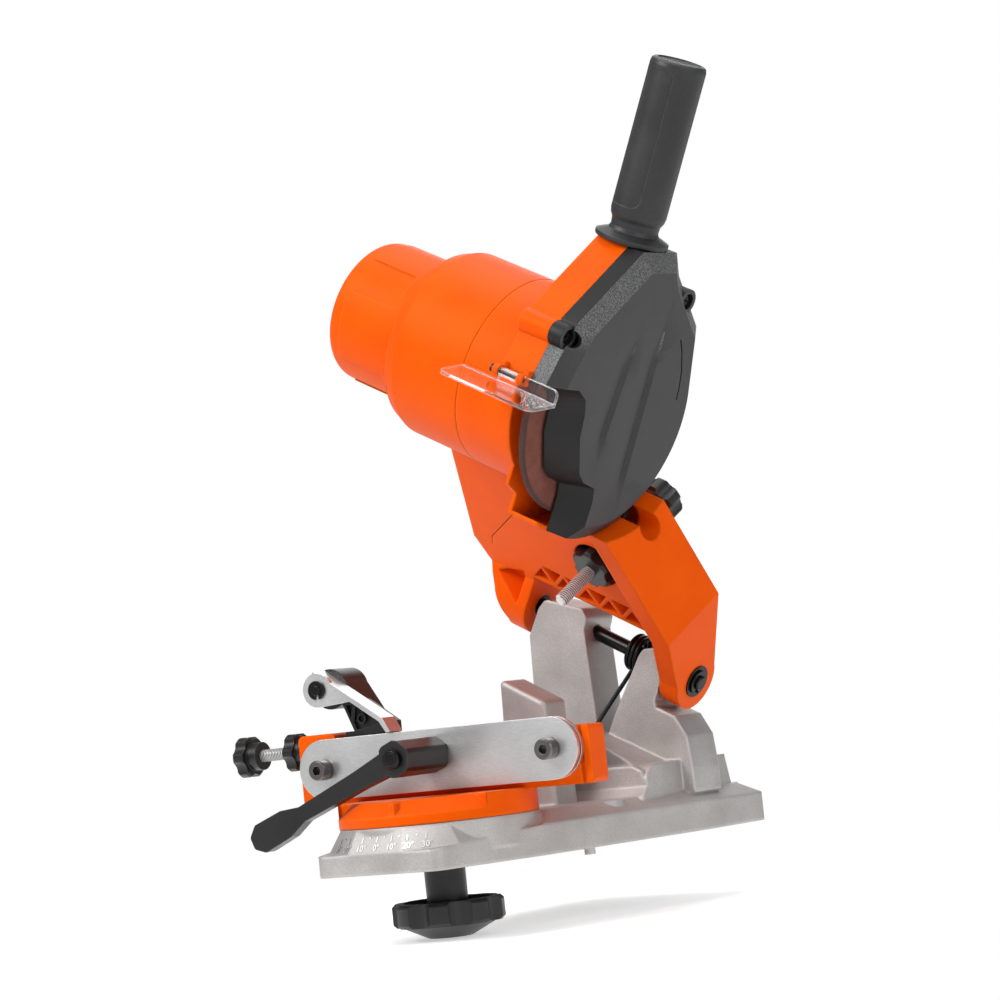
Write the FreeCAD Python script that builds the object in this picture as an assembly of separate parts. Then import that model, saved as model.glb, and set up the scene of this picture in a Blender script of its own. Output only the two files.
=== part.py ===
import FreeCAD, Part
import math
import os

V = FreeCAD.Vector
Rotation = FreeCAD.Rotation
Placement = FreeCAD.Placement

# Electric chainsaw sharpener, millimetres, +Z up, +X to the user's right, +Y to the back.
# The origin is the middle of the four bench bolts, on the underside of the base.

# ---------------------------------------------------------------- layout
bolts_to_swivel = 169.0        # bench bolt centre to the turntable axis, along -Y
swivel_rest = 4.5              # turntable angle as stored, degrees about +Z
work_height = 86.2             # where the wheel plane crosses the turntable axis
head_tilt = 28.0               # wheel plane leans this far from vertical, about Y
pivot_back = 188.0             # turntable axis to the head's pivot shaft
pivot_rise = 47.1              # pivot shaft above the work height, in the wheel plane
arm_lean = 41.3                # arm direction as stored, behind the wheel plane's up
arm_reach = 202.2              # pivot to wheel centre, along the arm
wheel_set_back = 24.2          # wheel centre behind the arm's centre line

# ---------------------------------------------------------------- clearances
seat_gap = 0.3                 # between pieces that move past each other
running_fit = 0.05             # radial clearance of a shaft in its bore
push_fit = 0.02                # radial clearance of a piece pushed into its seat

# ---------------------------------------------------------------- base casting
base_front = -68.0             # front edge, from the turntable axis
base_shoulder = 17.0
base_hip = 178.0
base_back = 253.0
base_front_half = 47.0
base_shoulder_half = 67.0
base_rear_half = 84.5
nose_height = 13.0
skirt_height = 19.0
crown_height = 27.0
crown_inset = 12.0
skirt_wall = 6.0
floor_thickness = 6.0
corner_round = 9.0
turntable_seat = 27.7          # top of the round boss that carries the turntable
scale_foot_radius = 71.0
deck_front = 130.0
deck_height = 47.0
deck_half = 71.0
deck_back = 226.0
tower_depth = 32.0             # towers, front to back
clearance_radius = 146.0       # concave wall that the vice sweeps past
anvil_offset = -4.0            # depth anvil, along the pivot from the wheel plane
anvil_s = 106.5                # behind the turntable axis
anvil_rise = 17.3              # above the work height, in the wheel plane
anvil_length = 38.0
anvil_depth = 26.0
bolt_spacing_x = 120.0
bolt_spacing_y = 138.0
bolt_hole_radius = 4.5
bolt_boss_radius = 10.0
bench_stop_drop = 4.0
bench_stop_y = 63.0

# ---------------------------------------------------------------- turntable and vice
turntable_radius = 62.8
turntable_bottom = turntable_seat + seat_gap
turntable_thick = 15.0
stud_radius = 5.0
lock_seat = 2.0                # underside of the swivel boss
rail_centre_x = 3.5
rail_centre_z = 65.3
rail_half_height = 19.3
rail_screw_reach = 84.6        # each socket screw from the rail's middle
plate_thick = 3.0
chain_gap = 1.8
rail_screw_radius = 4.0
rail_head_radius = 6.5
rail_head_height = 8.0
rail_head_gap = 0.9
carrier_thick = 18.0
carrier_left = -80.0
carrier_right = 112.0
carrier_top = 78.0
clamp_x = 3.5
clamp_z = 68.5
clamp_stud_radius = 4.0
hub_radius = 11.5
hub_end = 50.0
lever_length = 121.0
lever_droop = 21.5
stop_pivot_x = -78.5
stop_pivot_z = 116.2
stop_pin_radius = 3.5
stop_screw_z = 78.0
stop_screw_radius = 4.0
small_star_radius = 13.9
stop_knob_x = -156.0
stop_nut_x = -117.0
lug_left = -105.0
lug_top = 88.0

# ---------------------------------------------------------------- lock knob
knob_radius = 35.3
knob_rim_z = -22.0
knob_side = 15.0
knob_cone = 8.0
knob_stem_radius = 13.0
knob_lobes = 8
washer_thick = 1.7

# ---------------------------------------------------------------- pivot shaft and spring
shaft_radius = 5.0
shaft_left = -88.0
shaft_right = 70.0
lobe_radius = 20.0
cheek_right_out = 65.0
cheek_right_in = 50.0
cheek_left_out = -83.0
cheek_left_in = -68.0
bush_radius = 8.0
bush_flange = 1.2
spring_wire = 1.5
spring_radius = 11.5
spring_start = 12.7
spring_pitch = 3.4
spring_lean = 30.5             # the base leg leaves the coil this far below the shaft's level
spring_turns = 3.0 + spring_lean / 360
base_leg_length = 54.0
arm_leg_length = 31.0

# ---------------------------------------------------------------- arm and housings
panel_face = -2.0              # front panel of the arm
cheek_face = -18.0             # front edge of the cheeks
arm_back = 36.0
band_low = 31.0
band_high = 50.0
arm_top = 172.0
arm_left = -118.0
parting = -62.0                # plane where the two housings meet
drum_radius = 63.0
drum_back = -117.0             # the drum is round up to here, then steps down to the can
step_rim = -126.0
step_rim_radius = 59.5
step_foot = -131.0
can_radius = 48.5
can_back = -190.0
can_ring_front = -178.0        # plain ring at the can's end, behind the pads
pad_rise = 0.9
pad_gap = 26.5
pad_gap_front = -140.0
shell_wall = 3.0

# ---------------------------------------------------------------- depth stop
depth_offset = -4.0
depth_reach = 77.0
depth_screw_radius = 4.5
depth_tip = -39.8
depth_knob_face = 74.0
star_radius = 15.5
star_thick = 12.4
star_seat = 4.5

# ---------------------------------------------------------------- wheel, guard, motor
wheel_radius = 72.5
wheel_thick = 4.0
wheel_bore = 11.1
guard_radius = 81.5
guard_y = -4.0                 # middle of the guard's round part, from the wheel's
guard_z = -2.5
guard_wall = 2.6
guard_back = -20.0
guard_joint = 4.0
guard_face = 24.0
cover_bevel = 8.0
handle_seat = 106.0
handle_seat_right = 13.0
handle_seat_left = -23.5
handle_offset = -6.4
handle_y = -6.6
handle_lean = 3.5
grip_radius = 17.8
panel_depth = 0.7
window_top = 17.0
motor_shaft_radius = 6.0
bearing_radius = 16.0
bearing_thick = 10.0
stator_radius = 44.3
stator_length = 52.0
stator_start = -167.0
rotor_radius = 24.0
fan_start = -96.0


# ---------------------------------------------------------------- frames
def frame(position, axis=V(0, 0, 1), degrees=0.0):
    return Placement(position, Rotation(axis, degrees))


tilt = math.radians(head_tilt)
BASE = frame(V(0, -bolts_to_swivel, 0))
VICE = BASE * frame(V(0, 0, 0), V(0, 0, 1), swivel_rest)
PLANE = BASE * frame(V(0, 0, work_height), V(0, 1, 0), head_tilt)
PIVOT = PLANE * frame(V(0, pivot_back, pivot_rise))
ARM = PIVOT * frame(V(0, 0, 0), V(1, 0, 0), arm_lean)
WHEEL = ARM * frame(V(0, wheel_set_back, arm_reach), V(1, 0, 0), -arm_lean)


# ---------------------------------------------------------------- small helpers
def box(x0, x1, y0, y1, z0, z1):
    return Part.makeBox(x1 - x0, y1 - y0, z1 - z0, V(x0, y0, z0))


def rod(start, direction, radius, length):
    return Part.makeCylinder(radius, length, start, direction)


def rod_x(x0, x1, y, z, radius):
    return rod(V(x0, y, z), V(1, 0, 0), radius, x1 - x0)


def rod_y(y0, y1, x, z, radius):
    return rod(V(x, y0, z), V(0, 1, 0), radius, y1 - y0)


def rod_z(z0, z1, x, y, radius):
    return rod(V(x, y, z0), V(0, 0, 1), radius, z1 - z0)


def tube_x(x0, x1, outer, inner):
    return rod_x(x0, x1, 0, 0, outer).cut(rod_x(x0 - 1, x1 + 1, 0, 0, inner))


def prism_x(points, x0, x1):
    """Closed outline of (y, z) points, extruded along X."""
    wire = Part.makePolygon([V(x0, y, z) for y, z in points + points[:1]])
    return Part.Face(wire).extrude(V(x1 - x0, 0, 0))


def prism_y(points, y0, y1):
    """Closed outline of (x, z) points, extruded along Y."""
    wire = Part.makePolygon([V(x, y0, z) for x, z in points + points[:1]])
    return Part.Face(wire).extrude(V(0, y1 - y0, 0))


def prism_z(points, z0, z1):
    """Closed outline of (x, y) points, extruded along Z."""
    wire = Part.makePolygon([V(x, y, z0) for x, y in points + points[:1]])
    return Part.Face(wire).extrude(V(0, 0, z1 - z0))


def fuse(*shapes):
    joined = shapes[0]
    if len(shapes) > 1:
        joined = shapes[0].fuse(list(shapes[1:]))
    return joined.removeSplitter()


def edges_along(shape, direction, chosen):
    """Straight edges along a direction whose middle passes the test."""
    found = []
    for edge in shape.Edges:
        if edge.Curve.TypeId != "Part::GeomLine":
            continue
        along = edge.Curve.Direction
        if abs(along.dot(direction)) > 0.999 and chosen(edge.CenterOfMass):
            found.append(edge)
    return found


def rounded(shape, radius, direction, chosen=lambda middle: True):
    """Fillets every straight edge that runs along the direction."""
    return shape.makeFillet(radius, edges_along(shape, direction, chosen))


def obround(half_length, half_height, y0, y1, x, z):
    """Plate with round ends, standing in the XZ plane."""
    bar = box(x - half_length, x + half_length, y0, y1, z - half_height, z + half_height)
    left = rod_y(y0, y1, x - half_length, z, half_height)
    right = rod_y(y0, y1, x + half_length, z, half_height)
    return fuse(bar, left, right)


def star(radius, thick, lobes, scallop):
    """Star grip on the Z axis, from z = 0 up, with scallops between its lobes."""
    body = Part.makeCylinder(radius, thick)
    body = body.makeChamfer(thick * 0.14, [e for e in body.Edges if e.Length > radius * 4])
    cuts = []
    for index in range(lobes):
        angle = math.radians(360.0 * index / lobes)
        reach = radius + scallop * 0.62
        cuts.append(rod_z(-1, thick + 1, reach * math.cos(angle), reach * math.sin(angle), scallop))
    return body.cut(cuts)


def socket_screw(head_radius, head_height, shank_radius, shank_length):
    """Cap screw along +Y: its head ends at y = 0, its shank runs on from there."""
    head = rod_y(-head_height, 0, 0, 0, head_radius)
    head = head.makeChamfer(0.7, [e for e in head.Edges if e.CenterOfMass.y < -head_height + 0.1
                                  and e.Length > head_radius * 5])
    shank = rod_y(0, shank_length, 0, 0, shank_radius)
    hexagon = [(head_radius * 0.5 * math.cos(math.radians(60 * k)),
                head_radius * 0.5 * math.sin(math.radians(60 * k))) for k in range(6)]
    return fuse(head, shank).cut(prism_y(hexagon, -head_height - 1, -head_height * 0.45))


def save(node, shape, place):
    placed = shape.copy()
    placed.Placement = place * placed.Placement
    placed.exportStep("parts/" + node + ".step")


# ---------------------------------------------------------------- base
def outline(inset, front=True):
    """Plan of the base, clockwise from its front right corner."""
    right = [(base_front_half - inset, base_front + inset),
             (base_shoulder_half - inset, base_shoulder + (0 if front else inset)),
             (base_rear_half - inset, base_hip),
             (base_rear_half - inset, base_back - inset)]
    if not front:
        right = right[1:]
    return right + [(-x, y) for x, y in reversed(right)]


def plan_wire(points, height, radius):
    solid = rounded(prism_z(points, height, height + 1), radius, V(0, 0, 1),
                    lambda middle: abs(middle.y - base_hip) > 1 and abs(middle.y - base_shoulder) > 1)
    floor = [face for face in solid.Faces if abs(face.CenterOfMass.z - height) < 0.01][0]
    return floor.OuterWire


def band(low, low_z, high, high_z, radius):
    """Sloping band between two plans."""
    wires = [plan_wire(low, low_z, radius), plan_wire(high, high_z, radius)]
    return Part.makeLoft(wires, True, True)


def skirt():
    plan = Part.Face(plan_wire(outline(0), 0, corner_round)).extrude(V(0, 0, skirt_height))
    side = prism_x([(base_front - 1, -1), (base_front - 1, nose_height),
                    (base_shoulder, skirt_height), (base_back + 1, skirt_height),
                    (base_back + 1, -1)], -base_rear_half - 1, base_rear_half + 1)
    return plan.common(side)


def scale_cone():
    """Conical apron in front of the turntable, which carries the angle scale."""
    cone = Part.makeCone(scale_foot_radius, turntable_radius, crown_height - nose_height,
                         V(0, 0, nose_height))
    return cone.common(band(outline(0), nose_height, outline(8), crown_height, corner_round))


def deck():
    profile = [(deck_front - 6, crown_height - 4), (deck_front - 6, crown_height),
               (deck_front, crown_height + 6), (deck_front, deck_height - 8),
               (deck_front + 8, deck_height), (deck_back, deck_height),
               (deck_back + 6, crown_height - 4)]
    block = prism_x(profile, -deck_half, deck_half)
    return rounded(block, 6, V(1, 0, 0),
                   lambda m: m.y < deck_front + 20 and m.z > deck_height - 12)


def shaft_point(offset):
    """Point of the pivot axis, as (x, z), for a distance along it from the wheel plane."""
    x = pivot_rise * math.sin(tilt) + offset * math.cos(tilt)
    z = work_height + pivot_rise * math.cos(tilt) - offset * math.sin(tilt)
    return x, z


def towers():
    """Two unequal towers that carry the pivot shaft, with a vee between them."""
    front = pivot_back - tower_depth / 2
    left = [(-46, crown_height - 2), (-41, 105), (-40, 140), (-30, 158), (-24, 163),
            (5, 154), (8, 147), (5, 140), (7.5, 81), (9, 68)]
    right = [(16, 68), (22.5, 80), (47, 118), (51, 122), (64, 122), (71, 117.5),
             (55.5, 88), (56, 83), (70, 76), (78, 62), (80, deck_height - 6),
             (80, crown_height - 2)]
    block = prism_y(left + right, front, front + tower_depth)
    return rounded(block, 4, V(0, 1, 0), lambda m: m.z > 100 and abs(m.z - 140) > 1)


def clearance_wall():
    """Web in front of the towers, hollowed round the sweep of the vice."""
    front = pivot_back - tower_depth / 2
    web = prism_y([(-46, crown_height), (-46, 76), (5, 74), (68, deck_height - 4),
                   (68, crown_height)], deck_front, front + 2)
    return web.cut(rod_z(deck_height, 100, 0, 0, clearance_radius))


def anvil():
    """Post that the depth screw lands on: its top is square to the wheel plane."""
    mid_x = anvil_offset * math.cos(tilt) + anvil_rise * math.sin(tilt)
    mid_z = work_height - anvil_offset * math.sin(tilt) + anvil_rise * math.cos(tilt)
    half_x = anvil_length / 2 * math.cos(tilt)
    half_z = anvil_length / 2 * math.sin(tilt)
    sides = [(mid_x - half_x, mid_z + half_z), (mid_x + half_x, mid_z - half_z),
             (mid_x + half_x + 2, crown_height - 2), (mid_x - half_x - 3, crown_height - 2)]
    post = prism_y(sides, anvil_s - anvil_depth / 2, anvil_s + anvil_depth / 2)
    return post.makeFillet(3.0, [e for e in post.Edges if e.CenterOfMass.z > crown_height + 2])


def bolt_places():
    middle = bolts_to_swivel
    return [(x, y) for x in (-bolt_spacing_x / 2, bolt_spacing_x / 2)
            for y in (middle - bolt_spacing_y / 2, middle + bolt_spacing_y / 2)]


def base_hollow():
    """Underside pocket, left open round the ribs and bosses."""
    roof = crown_height - floor_thickness
    low = prism_z(outline(skirt_wall + 1), -1, nose_height - floor_thickness)
    under_boss = rod_z(0, roof, 0, 0, turntable_radius - 9)
    rear = prism_z(outline(skirt_wall + 4, False), -1, roof)
    under_deck = box(-deck_half + 8, deck_half - 8, deck_front + 8, deck_back - 10, 0,
                     deck_height - floor_thickness - 2)
    pocket = fuse(low, under_boss, rear, under_deck)
    ribs = [box(x - 2.5, x + 2.5, base_front, base_back, -2, deck_height) for x in (-28, 28)]
    ribs += [box(-base_rear_half, base_rear_half, y - 2.5, y + 2.5, -2, deck_height)
             for y in (-12, 38, 86, 134, 182, 226)]
    ribs += [rod_z(-2, deck_height, x, y, bolt_boss_radius) for x, y in bolt_places()]
    ribs += [rod_z(lock_seat, deck_height, 0, 0, 19)]
    return pocket.cut(ribs).cut(rod_z(-2, lock_seat, 0, 0, 19))


def base_casting():
    body = fuse(skirt(), scale_cone(), rod_z(nose_height - 4, turntable_seat, 0, 0, turntable_radius - 0.3),
                band(outline(0, False), skirt_height - 0.01, outline(crown_inset, False), crown_height,
                     corner_round),
                deck(), towers(), clearance_wall(), anvil(),
                *[rod_z(2, crown_height, x, y, bolt_boss_radius) for x, y in bolt_places()])
    body = body.cut(base_hollow())
    body = body.cut(rod_z(-3, lock_seat, 0, 0, 19))
    body = body.cut([rod_z(-1, deck_height, x, y, bolt_hole_radius) for x, y in bolt_places()])
    body = body.cut(rod_z(-1, turntable_bottom + 1, 0, 0, stud_radius + running_fit))
    low_x, low_z = shaft_point(-90)
    bore = rod(V(low_x, pivot_back, low_z), V(math.cos(tilt), 0, -math.sin(tilt)),
               shaft_radius + push_fit, 160)
    tabs = [rod_z(-bench_stop_drop, 3, side * 67.5, bench_stop_y, 3.5) for side in (-1, 1)]
    return fuse(body.cut(bore), *tabs)


# ---------------------------------------------------------------- turntable and vice
plate_inner = chain_gap / 2
plate_outer = plate_inner + plate_thick
carrier_back = plate_outer + carrier_thick
carrier_mid = (plate_outer + carrier_back) / 2
rail_ends = (rail_centre_x - rail_screw_reach, rail_centre_x + rail_screw_reach)
turntable_top = turntable_bottom + turntable_thick


def turntable():
    disc = rod_z(turntable_bottom, turntable_top, 0, 0, turntable_radius)
    scoop_ring = rod_z(turntable_top - 9, turntable_top + 1, 0, 0, turntable_radius + 1)
    scoop_core = Part.makeCone(turntable_radius, turntable_radius - 11, 10, V(0, 0, turntable_top - 9))
    scoop = scoop_ring.cut(scoop_core).common(box(-55, 55, -70, -28, 0, 60))
    pointer = box(-2, 2, -turntable_radius + 0.6, -44, turntable_top - 10, turntable_top - 1)
    pointer.rotate(V(0, 0, 0), V(0, 0, 1), 6)
    bar = box(carrier_left, carrier_right, plate_outer, carrier_back, turntable_top - 1, carrier_top)
    bar = rounded(bar, 3, V(0, 1, 0))
    lug = box(lug_left, carrier_left + 4, plate_outer, carrier_back, turntable_top, lug_top)
    lug = rounded(lug, 4, V(0, 1, 0), lambda m: m.z > 60)
    brace = prism_x([(carrier_back - 1, turntable_top - 1), (carrier_back - 1, carrier_top - 8),
                     (carrier_back + 22, turntable_top + 3), (carrier_back + 22, turntable_top - 1)], -5, 5)
    braces = []
    for x in (-25, 3.5, 32):
        rib = brace.copy()
        rib.translate(V(x, 0, 0))
        braces.append(rib)
    body = fuse(disc.cut(scoop), pointer, bar, lug, *braces)
    channel = box(-77, -29, plate_outer + 3.5, carrier_back + 1, 61.5, carrier_top + 1)
    groove = box(104, 107, plate_outer - 1, plate_outer + 2, turntable_top - 2, carrier_top + 1)
    bores = [rod_y(plate_outer - 1, carrier_back - 2, x, rail_centre_z, rail_screw_radius + push_fit)
             for x in rail_ends]
    bores.append(rod_y(plate_outer - 1, carrier_back + 1, clamp_x, clamp_z, clamp_stud_radius + push_fit))
    bores.append(rod_x(lug_left - 1, carrier_left + 6, carrier_mid, stop_screw_z,
                       stop_screw_radius + running_fit))
    bores.append(rod_z(turntable_bottom - 1, turntable_top - 4, 0, 0, stud_radius + push_fit))
    bores.append(rod_z(turntable_top - 10, turntable_top - 4, 0, 0, 9))
    return body.cut([channel, groove] + bores)


def turntable_stud():
    head = rod_z(turntable_top - 10, turntable_top - 4, 0, 0, 9 - push_fit)
    shank = rod_z(knob_rim_z - 8, turntable_top - 9, 0, 0, stud_radius)
    return fuse(head, shank)


def rail_plate(near):
    start = -plate_outer if near else plate_inner
    plate = obround(rail_screw_reach, rail_half_height, start, start + plate_thick,
                    rail_centre_x, rail_centre_z)
    loose = 2 * running_fit if near else push_fit
    holes = [rod_y(-20, 20, x, rail_centre_z, rail_screw_radius + loose) for x in rail_ends]
    holes.append(rod_y(-20, 20, clamp_x, clamp_z, clamp_stud_radius + loose))
    return plate.cut(holes)


def rail_screws():
    screws = []
    for x in rail_ends:
        screw = socket_screw(rail_head_radius, rail_head_height, rail_screw_radius,
                             plate_outer + rail_head_gap + carrier_back - 4)
        screw.translate(V(x, -plate_outer - rail_head_gap, rail_centre_z))
        screws.append(screw)
    return Part.makeCompound(screws)


def clamp_stud():
    return rod_y(-hub_end - 4, carrier_back, clamp_x, clamp_z, clamp_stud_radius)


def clamp_cap():
    cap = rod_y(-hub_end - 4, -hub_end - seat_gap, clamp_x, clamp_z, 6.2)
    cap = cap.makeChamfer(1.0, [e for e in cap.Edges if e.CenterOfMass.y < -hub_end - 3.9])
    return cap.cut(rod_y(-hub_end - 6, 0, clamp_x, clamp_z, clamp_stud_radius + push_fit))


def clamp_lever():
    """Hexagonal hub on the clamp stud with a long flat paddle, built level and then drooped."""
    hexagon = [((hub_radius + 0.8) * math.cos(math.radians(60 * k)),
                (hub_radius + 0.8) * math.sin(math.radians(60 * k))) for k in range(6)]
    hub_inner = -plate_outer - seat_gap
    hub = prism_y(hexagon, -hub_end, hub_inner).common(rod_y(-hub_end, hub_inner, 0, 0, hub_radius))
    shank = [(4, 8), (-30, 6), (-78, 5), (-92, 9), (-lever_length + 7, 9.5), (-lever_length, 4),
             (-lever_length, -4), (-lever_length + 7, -9.5), (-92, -9), (-78, -5), (-30, -6), (4, -8)]
    arm = prism_y(shank, -hub_end, -hub_end + 9)
    arm = rounded(arm, 3, V(0, 1, 0), lambda m: m.x < -50)
    lever = fuse(hub, arm).cut(rod_y(-hub_end - 1, 0, 0, 0, clamp_stud_radius + running_fit))
    lever.rotate(V(0, 0, 0), V(0, 1, 0), -lever_droop)
    lever.translate(V(clamp_x, 0, clamp_z))
    return lever


# ---------------------------------------------------------------- chain stop
link_front = -7.0
link_thick = 3.0
link_back = 7.2
lobe_front = link_back + seat_gap
lobe_end = 32.0
leg_end = 31.0
stop_lobe_radius = 13.0
spacer_radius = 5.4
stop_block = (-70.0, -36.0)


def stop_link():
    """Bent steel finger: a round-ended cheek on the pin and a sloping top that drops behind a cutter."""
    cheek_back = link_front + link_thick
    disc = rod_y(link_front, cheek_back, stop_pivot_x, stop_pivot_z, 11)
    cheek = prism_y([(-81, 126.5), (-57, 110), (-54, 106.9), (-61, 106.4), (-78.5, 105.2)],
                    link_front, cheek_back)
    top = prism_y([(-80.5, 128.5), (-31, 94.6), (-26, 85.6), (-26.6, 85.1), (-29, 85.1), (-33.6, 92.4),
                   (-55.5, 107.6), (-82, 125.7)], link_front, link_back)
    link = fuse(disc, cheek, top)
    return link.cut(rod_y(-20, 20, stop_pivot_x, stop_pivot_z, stop_pin_radius + running_fit))


def stop_pin():
    shank = rod_y(link_front - 2.6, lobe_end + 1, stop_pivot_x, stop_pivot_z, stop_pin_radius)
    shank = shank.makeChamfer(0.6, [e for e in shank.Edges if e.CenterOfMass.y < link_front - 2.5])
    head = rod_y(lobe_end + 0.2, lobe_end + 2.8, stop_pivot_x, stop_pivot_z, 5.5)
    return fuse(shank, head)


def stop_pin_clip():
    clip = rod_y(link_front - 1.6, link_front - seat_gap, stop_pivot_x, stop_pivot_z, 6.1)
    clip = clip.cut(rod_y(-20, 20, stop_pivot_x, stop_pivot_z, stop_pin_radius + push_fit))
    return clip.cut(box(stop_pivot_x - 1.6, stop_pivot_x + 1.6, -20, 20, stop_pivot_z - 9, stop_pivot_z))


def stop_carrier():
    """Slide that carries the stop finger: a lobed leg with a ribbed web over a guided block."""
    lobe = rod_y(lobe_front, lobe_end, stop_pivot_x, stop_pivot_z, stop_lobe_radius)
    spacer = rod_y(link_front + link_thick + seat_gap, lobe_front, stop_pivot_x, stop_pivot_z, spacer_radius)
    leg = prism_y([(-66.6, 121.5), (-54, 101), (-49, 90), (-49, 84.9), (-61.5, 84.9), (-70.8, 107.5)],
                  lobe_front, leg_end)
    web = prism_y([(-64, 112), (-36, 92), (-36, 84.9), (-61.5, 84.9)], lobe_front, 22)
    block = box(stop_block[0], stop_block[1], plate_outer + 4, carrier_back - 2, 62, 88)
    body = fuse(lobe, spacer, leg, web, block)
    pockets = [prism_y([(-67.4, 105), (-62.6, 105), (-64.6, 96.5)], 0, lobe_front + 2.5),
               prism_y([(-60, 104.8), (-41, 91.5), (-60.4, 88.5), (-62.4, 93.5)], 0, lobe_front + 2.5)]
    ring = rod_y(lobe_front, lobe_front + 3, -56.5, 95.4, 3.4).cut(rod_y(0, 60, -56.5, 95.4, 2.2))
    body = fuse(body.cut(pockets), ring)
    body = body.cut(rod_y(-20, 50, stop_pivot_x, stop_pivot_z, stop_pin_radius + push_fit))
    return body.cut(rod_x(stop_block[0] - 1, stop_block[0] + 10, carrier_mid, stop_screw_z,
                          stop_screw_radius + push_fit))


def stop_screw_rod():
    return rod_x(stop_knob_x, stop_block[0] + 9, carrier_mid, stop_screw_z, stop_screw_radius)


def star_on_x(radius, thick, boss_radius, boss_length, x, bore):
    """Star grip on the stop screw, with a round boss on its inner side."""
    grip = fuse(star(radius, thick, 6, 7), rod_z(thick - 1, thick + boss_length, 0, 0, boss_radius))
    grip = grip.cut(rod_z(-1, 60, 0, 0, bore))
    grip.rotate(V(0, 0, 0), V(0, 1, 0), 90)
    grip.translate(V(x, carrier_mid, stop_screw_z))
    return grip


def stop_screw_knob():
    return star_on_x(small_star_radius, 8.0, 9.2, 7.4, stop_knob_x, stop_screw_radius + push_fit)


def stop_jam_nut():
    thick = 8.0
    boss = lug_left - seat_gap - stop_nut_x - thick
    return star_on_x(small_star_radius - 1, thick, 9.2, boss, stop_nut_x, stop_screw_radius + running_fit)


# ---------------------------------------------------------------- lock knob
def lock_washer():
    ring = rod_z(0, washer_thick, 0, 0, 16)
    return ring.cut(rod_z(-1, 5, 0, 0, stud_radius + running_fit))


def lock_knob():
    """Big lobed knob under the base, dished round its stem."""
    grip = star(knob_radius, knob_side, knob_lobes, 11)
    grip.translate(V(0, 0, knob_rim_z - knob_side))
    cone = Part.makeCone(14, knob_radius - 5, knob_cone, V(0, 0, knob_rim_z - knob_side - knob_cone))
    dish = rod_z(knob_rim_z - 9, knob_rim_z + 1, 0, 0, knob_radius - 6.5)
    stem = rod_z(knob_rim_z - 12, -seat_gap, 0, 0, knob_stem_radius)
    body = fuse(fuse(grip, cone).cut(dish), stem)
    return body.cut(rod_z(knob_rim_z - 9, 5, 0, 0, stud_radius + running_fit))


# ---------------------------------------------------------------- pivot, in the PIVOT frame
def pivot_shaft():
    shaft = rod_x(shaft_left, shaft_right, 0, 0, shaft_radius)
    return shaft.makeChamfer(0.8, [e for e in shaft.Edges if e.Length > 20 and abs(e.CenterOfMass.y) < 0.01
                                   and e.Closed])


def circlip(x):
    ring = rod_x(x, x + 1.3, 0, 0, 8.2).cut(rod_x(x - 1, x + 3, 0, 0, shaft_radius + push_fit))
    return ring.cut(box(x - 1, x + 3, -2.2, 2.2, -12, 0))


def shaft_circlips():
    return Part.makeCompound([circlip(cheek_left_out - bush_flange - 1.6),
                              circlip(cheek_right_out + bush_flange + seat_gap)])


def bush(inner, outer):
    """Flanged bush in a cheek, with its flange on the outer face."""
    side = 1 if outer > inner else -1
    low, high = sorted((inner, outer))
    flange_low, flange_high = sorted((outer, outer + side * bush_flange))
    body = fuse(rod_x(low, high, 0, 0, bush_radius), rod_x(flange_low, flange_high, 0, 0, bush_radius + 3))
    return body.cut(rod_x(low - 5, high + 5, 0, 0, shaft_radius + running_fit))


def shaft_bushes():
    return Part.makeCompound([bush(cheek_left_in, cheek_left_out), bush(cheek_right_in, cheek_right_out)])


def return_spring():
    """Torsion spring round the shaft: one leg on the base, the other behind the arm."""
    helix = Part.makeHelix(spring_pitch, spring_pitch * spring_turns, spring_radius)
    ring = Part.Wire(Part.makeCircle(spring_wire, V(spring_radius, 0, 0), V(0, 1, 0)))
    coil = Part.Wire(helix.Edges).makePipeShell([ring], True, True)
    coil.rotate(V(0, 0, 0), V(0, 1, 0), 90)
    coil.rotate(V(0, 0, 0), V(1, 0, 0), 90 - spring_lean)
    coil.translate(V(spring_start, 0, 0))
    end = spring_start + spring_pitch * spring_turns
    lean = math.radians(spring_lean)
    base_leg = rod(V(spring_start, spring_radius * math.cos(lean), -spring_radius * math.sin(lean)),
                   V(0, -math.sin(lean), -math.cos(lean)), spring_wire, base_leg_length)
    arm_leg = rod(V(end, spring_radius, 0), V(0, 0, 1), spring_wire, arm_leg_length)
    return coil.fuse([base_leg, arm_leg])


# ---------------------------------------------------------------- guard outline, in the WHEEL frame
def seat_level(y):
    """Height of the handle's sloping seat."""
    return handle_seat + (y - handle_y) * math.tan(math.radians(handle_lean))


guard_corners = [(61.0, 61.0), (23.4, 92.6), (handle_seat_right, seat_level(handle_seat_right)),
                 (handle_seat_left, seat_level(handle_seat_left)), (-70.0, 57.0)]


def tangent(corner, side):
    """Angle at which a line from the corner touches the guard's round part."""
    y, z = corner[0] - guard_y, corner[1] - guard_z
    return math.atan2(z, y) + side * math.acos(guard_radius / math.hypot(y, z))


def guard_sides():
    """Straight sides over the round part: the angle of each one's normal and its distance out."""
    sides = [(tangent(guard_corners[0], -1), guard_radius)]
    for (y0, z0), (y1, z1) in zip(guard_corners, guard_corners[1:]):
        angle = math.atan2(z1 - z0, y1 - y0) - math.pi / 2
        sides.append((angle, (y0 - guard_y) * math.cos(angle) + (z0 - guard_z) * math.sin(angle)))
    return sides + [(tangent(guard_corners[-1], 1), guard_radius)]


def guard_point(x, y, z):
    return V(x, guard_y + y, guard_z + z)


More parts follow.
